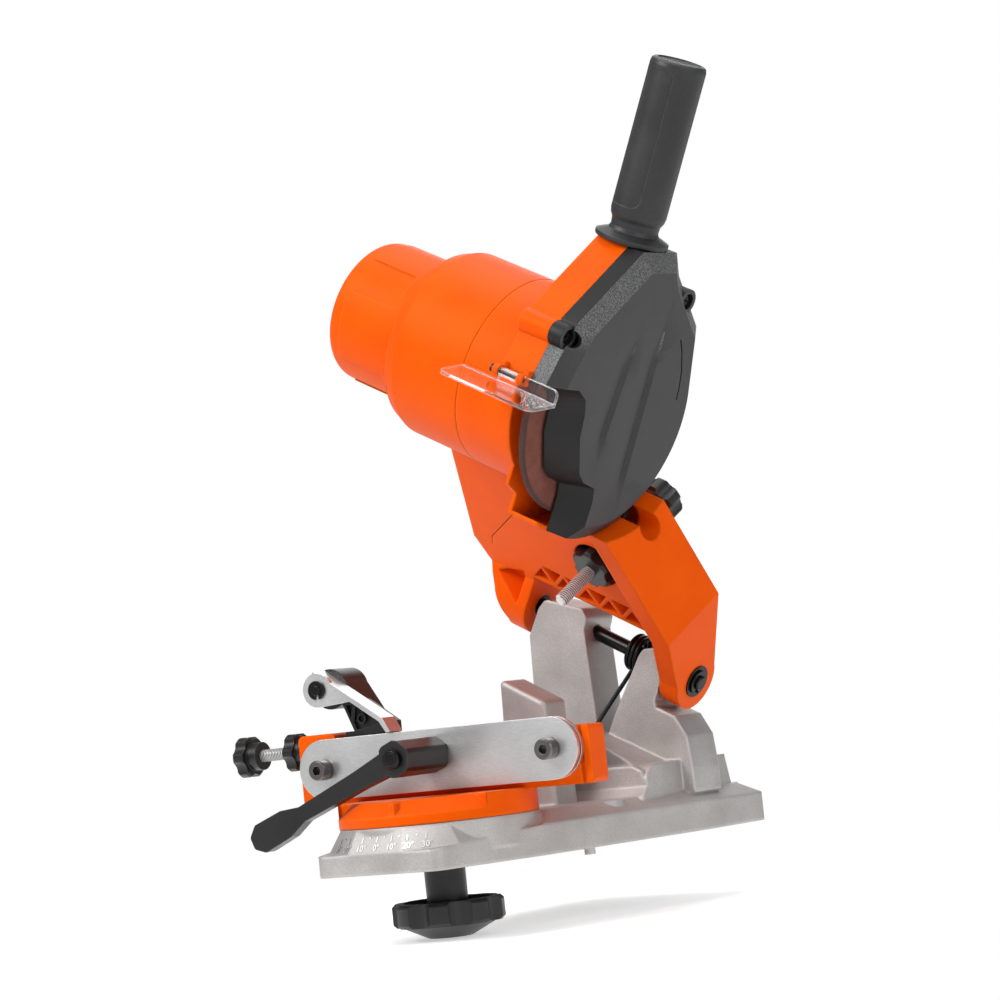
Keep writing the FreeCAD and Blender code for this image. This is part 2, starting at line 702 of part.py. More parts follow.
def meeting(x, inset, first, second):
    """Corner where two sides meet once both are moved in."""
    (a, reach_a), (b, reach_b) = first, second
    across = math.sin(b - a)
    y = ((reach_a - inset) * math.sin(b) - (reach_b - inset) * math.sin(a)) / across
    z = ((reach_b - inset) * math.cos(a) - (reach_a - inset) * math.cos(b)) / across
    return guard_point(x, y, z)


def guard_wire(x, inset):
    """Round guard with a seat on top for the side handle and sloping shoulders beside it."""
    sides = guard_sides()
    radius = guard_radius - inset
    end, start = sides[0][0], sides[-1][0]
    low = (start + end) / 2 + math.pi
    arc = [guard_point(x, radius * math.cos(a), radius * math.sin(a)) for a in (start, low, end)]
    corners = [meeting(x, inset, first, second) for first, second in zip(sides, sides[1:])]
    path = [arc[2]] + corners + [arc[0]]
    lines = [Part.makeLine(p, q) for p, q in zip(path, path[1:])]
    return Part.Wire([Part.Arc(arc[0], arc[1], arc[2]).toShape()] + lines)


def guard_form(x0, x1, inset):
    return Part.Face(guard_wire(x0, inset)).extrude(V(x1 - x0, 0, 0))


def guard_bevel(x0, inset0, x1, inset1):
    return Part.makeLoft([guard_wire(x0, inset0), guard_wire(x1, inset1)], True, True)


screw_places = [(-72.0, 47.0), (33.0, 78.0), (51.0, -69.5)]
screw_tops = (guard_face - cover_bevel - 2, guard_face - 2, guard_joint + 6)
guard_boss_radius = 8.0


def guard_bosses(x0, x1):
    return [rod_x(x0, x1, y, z, guard_boss_radius) for y, z in screw_places]


# ---------------------------------------------------------------- arm and housings, in the ARM frame
drum_y = wheel_set_back
drum_z = arm_reach
seam = [(-62.0, 172.0), (-62.0, 104.0), (-66.0, 98.0), (-99.0, 55.0), (-101.0, 46.0)]
seam_groove = 0.5


def arm_blank():
    """Arm from the fork up to the motor, before it is divided."""
    front_view = [(-68, band_low), (-68, 44), (arm_left, 46), (arm_left, arm_top), (20, arm_top),
                  (24, 139), (58, 60), (50, band_low)]
    return prism_y(front_view, panel_face, arm_back)


def right_cheek():
    side = fuse(prism_x([(cheek_face, 2), (cheek_face, 150), (-4, 160), (arm_back, 160), (arm_back, 52),
                         (18, -8)], -30, 80), rod_x(-30, 80, 0, 0, lobe_radius))
    front_view = [(cheek_right_in, -30), (cheek_right_out, -30), (cheek_right_out, 52), (24, 139),
                  (20, 160), (6, 160), (10, 134), (cheek_right_in, 47)]
    return side.common(prism_y(front_view, -60, 60))


def left_cheek():
    side = fuse(prism_x([(-19, 4), (-14, 14), (panel_face, 27), (panel_face, 60), (arm_back, 60),
                         (arm_back, 52), (18, -8)], -130, -60),
                rod_x(-130, -60, 0, 0, lobe_radius))
    front_view = [(cheek_left_in, -30), (cheek_left_out, -30), (cheek_left_out, -2), (-92, 9),
                  (-103, 22), (arm_left, 46), (arm_left, 60), (cheek_left_in, 60)]
    cheek = side.common(prism_y(front_view, -60, 60))
    recess = prism_y([(-99, 24), (-76, 33), (-76, 12)], -30, 4)
    return cheek.cut(recess)


def lattice():
    """Triangular pockets in the band across the fork."""
    cells = []
    width = (cheek_right_in - cheek_left_in) / 6.0
    for index in range(6):
        left = cheek_left_in + index * width
        cells.append([(left + 1.8, band_low + 2.5), (left + width - 1.8, band_low + 2.5),
                      (left + width / 2, band_high - 5)])
        if index < 5:
            cells.append([(left + width / 2 + 1.8, band_high - 2.2),
                          (left + width * 1.5 - 1.8, band_high - 2.2),
                          (left + width, band_low + 5)])
    return [prism_y(cell, panel_face - 1, panel_face + 10) for cell in cells]


def back_curtain():
    """Rear wall of the fork, below the band."""
    return box(cheek_left_in - 4, cheek_right_in + 4, arm_back - 4, arm_back, 12, band_low + 4)


def arm_cavity():
    front_view = [(arm_left + shell_wall, 62), (arm_left + shell_wall, arm_top), (4, arm_top),
                  (8, 134), (40, 62)]
    room = prism_y(front_view, panel_face + shell_wall, arm_back - shell_wall)
    post = rod_y(panel_face, arm_back, depth_offset, depth_reach, 13)
    return room.cut(post)


def left_part():
    """Share of the arm that belongs to the motor's half of the shell."""
    share = [(x - seam_groove, z) for x, z in seam] + [(arm_left - 5, 46), (arm_left - 5, 172)]
    return prism_y(share, -60, 60)


def right_part():
    return prism_y(seam + [(cheek_left_out - 60, 46), (cheek_left_out - 60, -40), (90, -40), (90, 172)],
                   -60, 60)


def drum(x0, x1, radius):
    return rod_x(x0, x1, drum_y, drum_z, radius)


def to_arm(shape):
    """Carries a shape from the WHEEL frame into the ARM frame."""
    moved = shape.copy()
    moved.Placement = frame(V(0, wheel_set_back, arm_reach), V(1, 0, 0), -arm_lean) * moved.Placement
    return moved


drum_screw_seat = -121.0


def drum_screw_places():
    return [(55.0 * math.cos(math.radians(a)), 55.0 * math.sin(math.radians(a))) for a in (35, 125, 215, 305)]


def front_housing():
    """Fork, arm front, front of the motor drum and the wheel's inner guard, one moulding."""
    arm = arm_blank().common(right_part())
    body = fuse(arm, right_cheek(), left_cheek().common(right_part()), back_curtain())
    body = body.cut(arm_cavity()).cut(lattice())
    seat = rod_y(panel_face - 5, star_seat, depth_offset, depth_reach, star_radius + 2)
    body = body.cut([seat, rod_y(-40, 60, depth_offset, depth_reach, depth_screw_radius + 0.5),
                     rod_y(arm_back - 12, arm_back + 1, depth_offset, depth_reach, 9)])
    body = body.cut(rod_x(-130, 90, 0, 0, bush_radius + push_fit))
    body = body.cut(rod_x(-130, cheek_left_out, 0, 0, bush_radius + 4.5))
    shell = drum(parting, guard_back, drum_radius)
    guard = to_arm(fuse(guard_form(guard_back, guard_joint, 0), *guard_bosses(guard_back, guard_joint)))
    body = fuse(body.cut(drum(-200, guard_back, drum_radius - shell_wall)), shell, guard)
    wheel_room = to_arm(guard_form(guard_back + guard_wall, guard_joint + 30, guard_wall))
    pockets = [rod_x(guard_joint, 60, y, z, guard_boss_radius + 0.4) for y, z in screw_places]
    cover_room = to_arm(fuse(guard_form(guard_joint, 60, -0.4), *pockets))
    kept = [rod_x(guard_back, guard_joint, y, z, guard_boss_radius) for y, z in screw_places]
    kept.append(box(guard_back, guard_joint, handle_y - 14, handle_y + 14, 92, handle_seat - 0.5))
    wheel_room = wheel_room.cut([to_arm(piece) for piece in kept])
    body = body.cut(wheel_room).cut(cover_room)
    body = body.cut(drum(parting - 1, guard_back - shell_wall, drum_radius - shell_wall))
    window = prism_x([(-130, window_top), (-42, window_top), (-42, -60), (-30, -66), (-30, -100),
                      (-130, -100)], guard_back - 1, guard_joint + 6)
    window = to_arm(window.cut(rod_x(guard_back - 2, guard_back + guard_wall, 0, 0, drum_radius)))
    inner_ring = drum(guard_back - 14, guard_back, bearing_radius + 4)
    drum_bosses = [to_arm(rod_x(parting + 1, guard_back - 1, y, z, 4.5)) for y, z in drum_screw_places()]
    body = fuse(body.cut(window), inner_ring, *drum_bosses)
    holes = [drum(guard_back - 14.5, guard_back - 3, bearing_radius + push_fit),
             drum(guard_back - 15, guard_back + 10, 10)]
    holes += [to_arm(rod_x(parting, parting + 22, y, z, 2.0 + push_fit)) for y, z in drum_screw_places()]
    holes += [to_arm(rod_x(guard_back + 4, guard_joint + 1, y, z, 2.5 + push_fit)) for y, z in screw_places]
    holes.append(to_arm(handle_bore()))
    return fuse(body.cut(holes), *[to_arm(ear) for ear in shield_ears()])


def motor_form(inset):
    """Motor drum, its steep step and the can behind it, turned about the motor's axis."""
    shift = 0.7 * inset
    outline = [(can_back + inset, 0), (can_back + inset, can_radius - pad_rise - inset),
               (step_foot + shift, can_radius - pad_rise - inset),
               (step_rim + shift, step_rim_radius - inset),
               (drum_back + shift, drum_radius - inset), (parting - seam_groove, drum_radius - inset),
               (parting - seam_groove, 0)]
    wire = Part.makePolygon([V(x, 0, r) for x, r in outline + outline[:1]])
    return Part.Face(wire).revolve(V(0, 0, 0), V(1, 0, 0), 360)


def can_pads():
    """Raised pads round the can, with four flat gaps between them."""
    ring = tube_x(can_ring_front, step_foot + 1, can_radius, can_radius - pad_rise - 1)
    gaps = []
    for angle in (56, 146, 236, 326):
        gap = box(can_ring_front - 1, pad_gap_front, 20, 60, -pad_gap / 2, pad_gap / 2)
        gap.rotate(V(0, 0, 0), V(1, 0, 0), angle)
        gaps.append(gap)
    return ring.cut(gaps)


def rear_housing():
    """Motor drum and can with the matching share of the arm."""
    arm = fuse(arm_blank(), left_cheek()).common(left_part()).cut(arm_cavity())
    form = motor_form(0)
    shell = form.makeFillet(7, [e for e in form.Edges if e.CenterOfMass.x < can_back + 0.1 and e.Closed])
    pad = box(switch_x[0] - 3, switch_x[1] + 3, 55, drum_radius + 2, -16, 16)
    boss = rod_x(can_back + 1, can_back + 14, 0, 0, bearing_radius + 4)
    posts = [rod_x(step_rim, parting - seam_groove, y, z, 6).common(form) for y, z in drum_screw_places()]
    body = fuse(arm, to_arm(fuse(shell, can_pads(), pad))).cut(to_arm(motor_form(shell_wall)))
    body = body.cut(drum(parting - 1, parting, drum_radius - shell_wall))
    body = fuse(body, *[to_arm(piece) for piece in [boss] + posts])
    holes = [drum(can_back + 4, can_back + 15, bearing_radius + push_fit),
             to_arm(box(switch_x[0], switch_x[1], 40, 80, -12, 12)),
             to_arm(gland_form(8 + push_fit, 0, 30))]
    for y, z in drum_screw_places():
        holes.append(to_arm(rod_x(step_foot - 4, drum_screw_seat, y, z, 4.6)))
        holes.append(to_arm(rod_x(drum_screw_seat - 1, parting, y, z, 2.4)))
    return body.cut(holes)


# ---------------------------------------------------------------- guard cover, in the WHEEL frame
notch_edge = [(-58.0, 17.0), (-48.0, 11.0), (-44.0, 1.0), (-42.0, -13.0), (-30.5, -37.0), (-23.0, -43.0),
              (-9.0, -47.0), (-6.6, -56.0)]


def notch(grow):
    """Opening at the front of the cover where the wheel shows; its wall leans inward."""
    path = [(-130.0, 19.0)] + notch_edge + [(-6.0, -130.0), (-130.0, -130.0)]
    wires = []
    for x, lean in ((guard_joint - 1, 12.0), (guard_face + 1, 0.0)):
        points = [V(x, y - lean + grow, z - lean * 0.3 + grow) for y, z in path]
        wires.append(Part.makePolygon(points + points[:1]))
    return Part.makeLoft(wires, True, True)


def guard_cover():
    edge = guard_face - cover_bevel
    outer = fuse(guard_form(guard_joint, edge, 0), guard_bevel(edge, 0, guard_face, 11))
    inner = fuse(guard_form(guard_joint - 1, edge - 1, guard_wall),
                 guard_bevel(edge - 1, guard_wall, guard_face - guard_wall, 11))
    bosses = [rod_x(guard_joint, top, y, z, guard_boss_radius)
              for (y, z), top in zip(screw_places, screw_tops)]
    shell = outer.cut(notch(0)).cut(inner.cut([notch(guard_wall)]))
    shell = fuse(shell, *bosses)
    for (y, z), top in zip(screw_places, screw_tops):
        shell = shell.cut([rod_x(top - 5, guard_face + 5, y, z, 5.2), rod_x(0, top, y, z, 2.6)])
    return shell


def guard_screws():
    screws = []
    for (y, z), top in zip(screw_places, screw_tops):
        head = rod_x(top - 5, top - 2, y, z, 4.5)
        head = head.makeFillet(1.2, [e for e in head.Edges if e.CenterOfMass.x > top - 2.1])
        shank = rod_x(guard_back + 6, top - 5, y, z, 2.5)
        screws.append(fuse(head, shank))
    return Part.makeCompound(screws)


# ---------------------------------------------------------------- side handle, in the WHEEL frame
HANDLE = frame(V(handle_offset, handle_y, handle_seat), V(1, 0, 0), handle_lean)


def on_handle(shape):
    moved = shape.copy()
    moved.Placement = HANDLE * moved.Placement
    return moved


def handle_bore():
    return on_handle(rod_z(-16, 5, 0, 0, 5 + push_fit))


def grip_panel(angle):
    """Shallow recess in one side of the grip, with rounded corners."""
    sides = [math.radians(angle + turn) for turn in (-45, 45)]
    wedge = prism_z([(0, 0)] + [(40 * math.cos(a), 40 * math.sin(a)) for a in sides], 22.5, 110)
    wedge = wedge.cut(rod_z(20, 112, 0, 0, grip_radius - panel_depth))
    corners = [e for e in wedge.Edges if e.Curve.TypeId == "Part::GeomLine" and 20 < e.Length < 30]
    return wedge.makeFillet(6, corners)


def handle_grip():
    r = grip_radius
    profile = [(0, 0.4), (23, 0.4), (23.5, 1.4), (23.5, 3.4), (20, 5), (16.2, 6.6), (15.2, 9), (15.6, 13),
               (r - 0.6, 16), (r, 19), (r, 112), (r - 0.6, 114.4), (r - 2, 115.4), (r - 3.6, 115.6),
               (r - 4.2, 114.8), (0, 113.8)]
    wire = Part.makePolygon([V(x, 0, z) for x, z in profile + profile[:1]])
    grip = Part.Face(wire).revolve(V(0, 0, 0), V(0, 0, 1), 360)
    return on_handle(grip.cut([grip_panel(-104), grip_panel(76), rod_z(-1, 32, 0, 0, 5 + push_fit)]))


def handle_stud():
    return on_handle(rod_z(-14, 30, 0, 0, 5))


# ---------------------------------------------------------------- eye shield, in the WHEEL frame
shield_hinge = (-89.0, 15.0)


def shield_ears():
    y, z = shield_hinge
    ears = []
    for x0, x1 in ((-19.6, -15.4), (-0.6, 3.6)):
        ear = fuse(box(x0, x1, y, -82.5, z - 3.5, z + 3.5), box(x0, x1, y + 3, -81.5, z, z + 6),
                   rod_x(x0, x1, y, z, 3.5))
        ears.append(ear.cut(rod_x(x0 - 1, x1 + 1, y, z, 1.6 + push_fit)))
    return ears


def shield_pin():
    y, z = shield_hinge
    return fuse(rod_x(-20.4, 3.6, y, z, 1.6), rod_x(-21.6, -20.0, y, z, 3.0))


def eye_shield():
    """Clear shelf over the wheel with an upstand that hangs from the hinge."""
    y, z = shield_hinge
    shelf = prism_x([(-113, 3.4), (-113, 5.8), (y - 1, 9.2), (y + 1.2, 9.2), (y + 1.2, 6.6)], -44, 30)
    shelf = rounded(shelf, 0.8, V(1, 0, 0), lambda m: m.y < -110)
    trim = prism_z([(-44, -107), (-38, -113.1), (24, -113.1), (30, -107), (30, -60), (-44, -60)], -20, 60)
    shelf = shelf.common(trim)
    upstand = box(-14.9, -1.1, y - 1.2, y + 1.2, 8, z)
    wing = box(-1.2, 30, y - 1.2, y + 1.2, 8, z - 4.4)
    wing = fuse(wing, box(4.4, 30, y - 1.2, y + 1.2, 8, z + 2))
    knuckle = rod_x(-14.9, -1.1, y, z, 3.2)
    return fuse(shelf, upstand, wing, knuckle).cut(rod_x(-16, 1, y, z, 1.6 + running_fit))


# ---------------------------------------------------------------- wheel and motor, in the WHEEL frame
hub_back = -9.0


def grinding_wheel():
    wheel = tube_x(-wheel_thick / 2, wheel_thick / 2, wheel_radius, wheel_bore)
    return wheel.makeChamfer(0.5, [e for e in wheel.Edges if e.Closed and e.Length > 400])


def inner_flange():
    disc = rod_x(hub_back, -wheel_thick / 2, 0, 0, 21)
    hub = rod_x(hub_back, wheel_thick / 2 - 0.3, 0, 0, wheel_bore - push_fit)
    return fuse(disc, hub).cut(rod_x(-20, 20, 0, 0, motor_shaft_radius + push_fit))


def outer_flange():
    return tube_x(wheel_thick / 2, wheel_thick / 2 + 3.5, 21, motor_shaft_radius + push_fit)


def wheel_nut():
    hexagon = [(11.0 * math.cos(math.radians(60 * k)), 11.0 * math.sin(math.radians(60 * k)))
               for k in range(6)]
    start = wheel_thick / 2 + 3.5
    nut = prism_x(hexagon, start, start + 8).common(rod_x(start, start + 8, 0, 0, 10.4))
    return nut.cut(rod_x(0, 40, 0, 0, motor_shaft_radius + push_fit))


def motor_shaft():
    return rod_x(can_back + 5, 16, 0, 0, motor_shaft_radius)


def bearing(x):
    races = [tube_x(x, x + bearing_thick, bearing_radius, bearing_radius - 2.5),
             tube_x(x, x + bearing_thick, motor_shaft_radius + 2.5, motor_shaft_radius + push_fit)]
    shields = tube_x(x + 0.6, x + bearing_thick - 0.6, bearing_radius - 2.5, motor_shaft_radius + 2.5)
    return fuse(races[0], shields, races[1])


def motor_bearings():
    return Part.makeCompound([bearing(guard_back - 14), bearing(can_back + 4)])


def stator_core():
    ring = tube_x(stator_start, stator_start + stator_length, stator_radius, rotor_radius + 1)
    slots = []
    for index in range(12):
        angle = math.radians(30 * index)
        slots.append(rod_x(stator_start - 1, stator_start + stator_length + 1,
                           33 * math.cos(angle), 33 * math.sin(angle), 3.6))
    return ring.cut(slots)


def stator_windings():
    rings = [tube_x(stator_start - 9.5, stator_start - 0.2, 41, 27),
             tube_x(stator_start + stator_length + 0.2, stator_start + stator_length + 11, 41, 27)]
    return Part.makeCompound([ring.makeFillet(3, [e for e in ring.Edges if e.Closed and e.Length > 230])
                              for ring in rings])


def rotor_core():
    core = tube_x(stator_start, stator_start + stator_length, rotor_radius, motor_shaft_radius + push_fit)
    ends = tube_x(stator_start - 4, stator_start + stator_length + 4, rotor_radius - 2,
                  motor_shaft_radius + push_fit)
    return fuse(core, ends)


def cooling_fan():
    hub = tube_x(fan_start, fan_start + 12, 12, motor_shaft_radius + push_fit)
    disc = tube_x(fan_start, fan_start + 2, 32, 11)
    blades = [box(fan_start + 1, fan_start + 12, 10, 31, -1, 1) for index in range(8)]
    for index, blade in enumerate(blades):
        blade.rotate(V(0, 0, 0), V(1, 0, 0), 45 * index)
    return fuse(hub, disc, *blades)


capacitor_radius = 11.0


def run_capacitor():
    can = rod_x(-102, -66, 0, capacitor_radius + seat_gap + shell_wall - drum_radius, capacitor_radius)
    return can.makeFillet(1.5, [e for e in can.Edges if e.Closed])


def drum_screws():
    screws = []
    for y, z in drum_screw_places():
        head = rod_x(drum_screw_seat - 3, drum_screw_seat, y, z, 4.2)
        screws.append(fuse(head, rod_x(drum_screw_seat - 1, parting + 20, y, z, 2.0)))
    return Part.makeCompound(screws)


# ---------------------------------------------------------------- switch and cable gland, in the WHEEL frame
switch_x = (-110.0, -82.0)
rocker_pivot = 62.5
gland_x = -112.0
gland_angle = -24.0


def switch_body():
    bezel = box(switch_x[0] - 2, switch_x[1] + 2, drum_radius + 2, drum_radius + 3.4, -14, 14)
    well = box(switch_x[0] + 0.05, switch_x[1] - 0.05, 46, drum_radius + 3, -11.95, 11.95)
    room = box(switch_x[0] + 2, switch_x[1] - 2, rocker_pivot - 6.5, drum_radius + 10, -9.8, 9.8)
    middle = (switch_x[0] + switch_x[1]) / 2
    terminals = [box(middle - 2, middle + 2, 38, 47, z - 0.5, z + 0.5) for z in (-6, 6)]
    body = fuse(fuse(bezel, well).cut(room), *terminals)
    return body.cut(rod_x(switch_x[0] + 0.5, switch_x[1] - 0.5, rocker_pivot, 0, 1.5 + running_fit))


def switch_rocker():
    side = [(-3.4, -4), (-3.4, 4), (3.6, 8.2), (2.2, 0), (3.6, -8.2)]
    rocker = prism_x([(y, z) for y, z in side], switch_x[0] + 2.4, switch_x[1] - 2.4)
    rocker = fuse(rocker, rod_x(switch_x[0] + 0.8, switch_x[1] - 0.8, 0, 0, 1.5))
    rocker.rotate(V(0, 0, 0), V(1, 0, 0), -7)
    rocker.translate(V(0, rocker_pivot, 0))
    return rocker


def gland_form(radius, start, length):
    """Round plug that leaves the drum radially at the back, low down."""
    direction = V(0, math.cos(math.radians(gland_angle)), math.sin(math.radians(gland_angle)))
    base = V(gland_x, 0, 0) + direction * (drum_radius - 8 + start)
    return rod(base, direction, radius, length)


def cable_gland():
    tail = fuse(gland_form(8, 0, 13), gland_form(6.2, 12, 22))
    rings = [gland_form(7.2, start, 1.6) for start in (17, 21, 25, 29)]
    return fuse(tail, *rings).cut(gland_form(3.4, -2, 40))


# ---------------------------------------------------------------- depth stop, in the ARM frame
def depth_screw_rod():
    body = rod_y(depth_tip, depth_knob_face - 1, depth_offset, depth_reach, depth_screw_radius)
    return body.makeFillet(1.5, [e for e in body.Edges if e.Closed and e.CenterOfMass.y < depth_tip + 0.1])


def star_on_y(y, bore):
    grip = star(star_radius, star_thick, 6, 8).cut(Part.makeCylinder(bore, 60, V(0, 0, -1)))
    grip.rotate(V(0, 0, 0), V(1, 0, 0), -90)
    grip.translate(V(depth_offset, y, depth_reach))
    return grip


def depth_knob():
    return star_on_y(depth_knob_face - star_thick, depth_screw_radius + push_fit)


def depth_jam_nut():
    return star_on_y(star_seat - star_thick - seat_gap, depth_screw_radius + running_fit)


def depth_nut_insert():
    sleeve = rod_y(arm_back - 12, arm_back, depth_offset, depth_reach, 9 - push_fit)
    return sleeve.cut(rod_y(0, 60, depth_offset, depth_reach, depth_screw_radius + running_fit))


# ---------------------------------------------------------------- write the parts
os.makedirs("parts", exist_ok=True)

for node, shape in [("base_casting", base_casting())]:
    save(node, shape, BASE)

for node, shape in [("turntable", turntable()), ("turntable_stud", turntable_stud()),
                    ("lock_washer", lock_washer()), ("lock_knob", lock_knob()),
                    ("near_rail_plate", rail_plate(True)), ("far_rail_plate", rail_plate(False)),
                    ("rail_screws", rail_screws()), ("clamp_stud", clamp_stud()),
                    ("clamp_cap", clamp_cap()), ("clamp_lever", clamp_lever()),
                    ("stop_link", stop_link()), ("stop_pin", stop_pin()),
                    ("stop_pin_clip", stop_pin_clip()), ("stop_carrier", stop_carrier()),
                    ("stop_screw_rod", stop_screw_rod()), ("stop_screw_knob", stop_screw_knob()),
                    ("stop_jam_nut", stop_jam_nut())]:
    save(node, shape, VICE)

for node, shape in [("pivot_shaft", pivot_shaft()), ("shaft_circlips", shaft_circlips()),
                    ("shaft_bushes", shaft_bushes()), ("return_spring", return_spring())]:
    save(node, shape, PIVOT)

for node, shape in [("front_housing", front_housing()), ("rear_housing", rear_housing()),
                    ("depth_screw_rod", depth_screw_rod()), ("depth_knob", depth_knob()),
                    ("depth_jam_nut", depth_jam_nut()), ("depth_nut_insert", depth_nut_insert())]:
    save(node, shape, ARM)

for node, shape in [("guard_cover", guard_cover()), ("guard_screws", guard_screws()),
                    ("handle_grip", handle_grip()), ("handle_stud", handle_stud()),
                    ("eye_shield", eye_shield()), ("shield_pin", shield_pin()),
                    ("grinding_wheel", grinding_wheel()), ("inner_flange", inner_flange()),
                    ("outer_flange", outer_flange()), ("wheel_nut", wheel_nut()),
                    ("motor_shaft", motor_shaft()), ("motor_bearings", motor_bearings()),
                    ("stator_core", stator_core()), ("stator_windings", stator_windings()),
                    ("rotor_core", rotor_core()), ("cooling_fan", cooling_fan()),
                    ("run_capacitor", run_capacitor()), ("drum_screws", drum_screws()),
                    ("switch_body", switch_body()), ("switch_rocker", switch_rocker()),
                    ("cable_gland", cable_gland())]:
    save(node, shape, WHEEL)
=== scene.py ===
"""Electric chainsaw sharpener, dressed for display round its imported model.

The file follows the machine as it is put together: the stage, the base casting, the vice and
its chain stop, the pivot, the arm and guard, the wheel, the handle, the motor and the controls.
Every length is in metres.
"""
import math

import bmesh
import bpy
from mathutils import Matrix, Vector


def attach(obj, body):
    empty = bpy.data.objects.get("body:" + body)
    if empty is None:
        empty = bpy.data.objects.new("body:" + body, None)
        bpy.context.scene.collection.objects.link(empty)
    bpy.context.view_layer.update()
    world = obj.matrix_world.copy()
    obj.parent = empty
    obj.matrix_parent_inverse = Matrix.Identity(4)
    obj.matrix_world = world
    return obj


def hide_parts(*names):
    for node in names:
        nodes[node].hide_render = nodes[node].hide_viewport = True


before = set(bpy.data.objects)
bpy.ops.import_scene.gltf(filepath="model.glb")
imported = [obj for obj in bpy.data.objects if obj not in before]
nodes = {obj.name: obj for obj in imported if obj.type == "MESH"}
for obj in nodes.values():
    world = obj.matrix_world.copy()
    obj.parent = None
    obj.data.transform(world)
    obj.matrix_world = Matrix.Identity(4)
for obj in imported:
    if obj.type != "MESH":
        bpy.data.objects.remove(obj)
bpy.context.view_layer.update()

# ------------------------------------------------------------------ stage
# A white sweep of paper with four large soft lamps round it. The machine stands as it does on
# the edge of a bench, so its lock knob hangs lowest and almost touches the paper.
FLOOR = -0.0462
FLOOR_HALF = 12.0
PAPER = (0.93, 0.93, 0.93, 1.0)
PAPER_GLOW = 0.50
FADE_START, FADE_END = 0.20, 0.55
WHITE = (1.0, 1.0, 1.0, 1.0)
SKY = (0.95, 0.97, 1.0, 1.0)
SKY_STRENGTH = 0.27
TARGET = Vector((0.0162, -0.0921, 0.2266))
AZIMUTH = math.radians(36.06)
RISE = math.radians(-4.03)
ROLL = math.radians(5.97)
DISTANCE = 1.942
LENS = 108.0


def empty_tree(owner):
    """Turns on the nodes of a material or world, and clears them."""
    owner.use_nodes = True
    owner.node_tree.nodes.clear()
    return owner.node_tree


def add(tree, kind, values=None, **settings):
    """Adds a node: values go to its sockets, as numbers or links, and settings to the node."""
    made = tree.nodes.new(kind)
    for name, value in settings.items():
        setattr(made, name, value)
    for name, value in (values or {}).items():
        socket = made.inputs[name]
        if isinstance(value, bpy.types.NodeSocket):
            tree.links.new(value, socket)
        else:
            socket.default_value = value
    return made


def maths(tree, operation, *values, **settings):
    """The result of a Math node on numbers or links."""
    return add(tree, "ShaderNodeMath", dict(enumerate(values)), operation=operation,
               **settings).outputs[0]


def ramp(tree, value, start, end, low=0.0, high=1.0, **settings):
    """A value taken from between start and end to between low and high."""
    return add(tree, "ShaderNodeMapRange", {"Value": value, "From Min": start, "From Max": end,
                                            "To Min": low, "To Max": high},
               **settings).outputs[0]


def mix_shaders(tree, share, first, second):
    """The mix of two shaders at a share."""
    return add(tree, "ShaderNodeMixShader", {"Fac": share, 1: first, 2: second}).outputs[0]


def soft_lamp(name, place, size, power):
    """A soft box at place, facing the middle of the machine."""
    lamp = bpy.data.lights.new(name, "AREA")
    lamp.shape = "RECTANGLE"
    lamp.size, lamp.size_y = size
    lamp.energy = power
    holder = bpy.data.objects.new(name, lamp)
    holder.location = place
    holder.rotation_euler = (TARGET - Vector(place)).to_track_quat("-Z", "Y").to_euler()
    bpy.context.scene.collection.objects.link(holder)


floor_mesh = bpy.data.meshes.new("paper_floor")
floor_form = bmesh.new()
bmesh.ops.create_grid(floor_form, x_segments=2, y_segments=2, size=FLOOR_HALF,
                      matrix=Matrix.Translation((0, 0, FLOOR)))
floor_form.to_mesh(floor_mesh)
floor_form.free()
floor = bpy.data.objects.new("paper_floor", floor_mesh)
bpy.context.scene.collection.objects.link(floor)

# Seen directly, in a reflection or through the shield, the paper fades to pure white.
paper = bpy.data.materials.new("white_paper")
tree = empty_tree(paper)
rays = add(tree, "ShaderNodeLightPath").outputs
matt = add(tree, "ShaderNodeBsdfDiffuse", {"Color": PAPER}).outputs[0]
glow = add(tree, "ShaderNodeEmission", {"Color": WHITE, "Strength": PAPER_GLOW}).outputs[0]
lit = add(tree, "ShaderNodeAddShader", {0: matt, 1: glow}).outputs[0]
white = add(tree, "ShaderNodeEmission", {"Color": WHITE, "Strength": 1.0}).outputs[0]
spot = add(tree, "ShaderNodeTexCoord").outputs["Object"]
reach = add(tree, "ShaderNodeVectorMath", {0: spot}, operation="LENGTH").outputs["Value"]
far = ramp(tree, reach, FADE_START, FADE_END, interpolation_type="SMOOTHSTEP")
sweep = mix_shaders(tree, far, lit, white)
seen = maths(tree, "MAXIMUM", rays["Is Camera Ray"], rays["Is Glossy Ray"])
seen = maths(tree, "MAXIMUM", seen, rays["Is Transmission Ray"])
add(tree, "ShaderNodeOutputMaterial", {"Surface": mix_shaders(tree, seen, matt, sweep)})
floor_mesh.materials.append(paper)

world = bpy.data.worlds.new("studio")
bpy.context.scene.world = world
tree = empty_tree(world)
rays = add(tree, "ShaderNodeLightPath").outputs
seen = maths(tree, "MAXIMUM", rays["Is Camera Ray"], rays["Is Transmission Ray"])
soft = add(tree, "ShaderNodeBackground", {"Color": SKY, "Strength": SKY_STRENGTH}).outputs[0]
bright = add(tree, "ShaderNodeBackground", {"Color": WHITE, "Strength": 1.0}).outputs[0]
add(tree, "ShaderNodeOutputWorld", {"Surface": mix_shaders(tree, seen, soft, bright)})

soft_lamp("key_lamp", (-0.7, -1.8, 1.7), (1.1, 1.1), 42.0)
soft_lamp("side_lamp", (2.0, -0.7, 1.1), (0.9, 1.5), 14.0)
soft_lamp("top_lamp", (0.1, 0.3, 2.1), (1.6, 1.6), 18.0)
soft_lamp("back_lamp", (-1.0, 1.8, 1.2), (1.2, 1.2), 10.0)

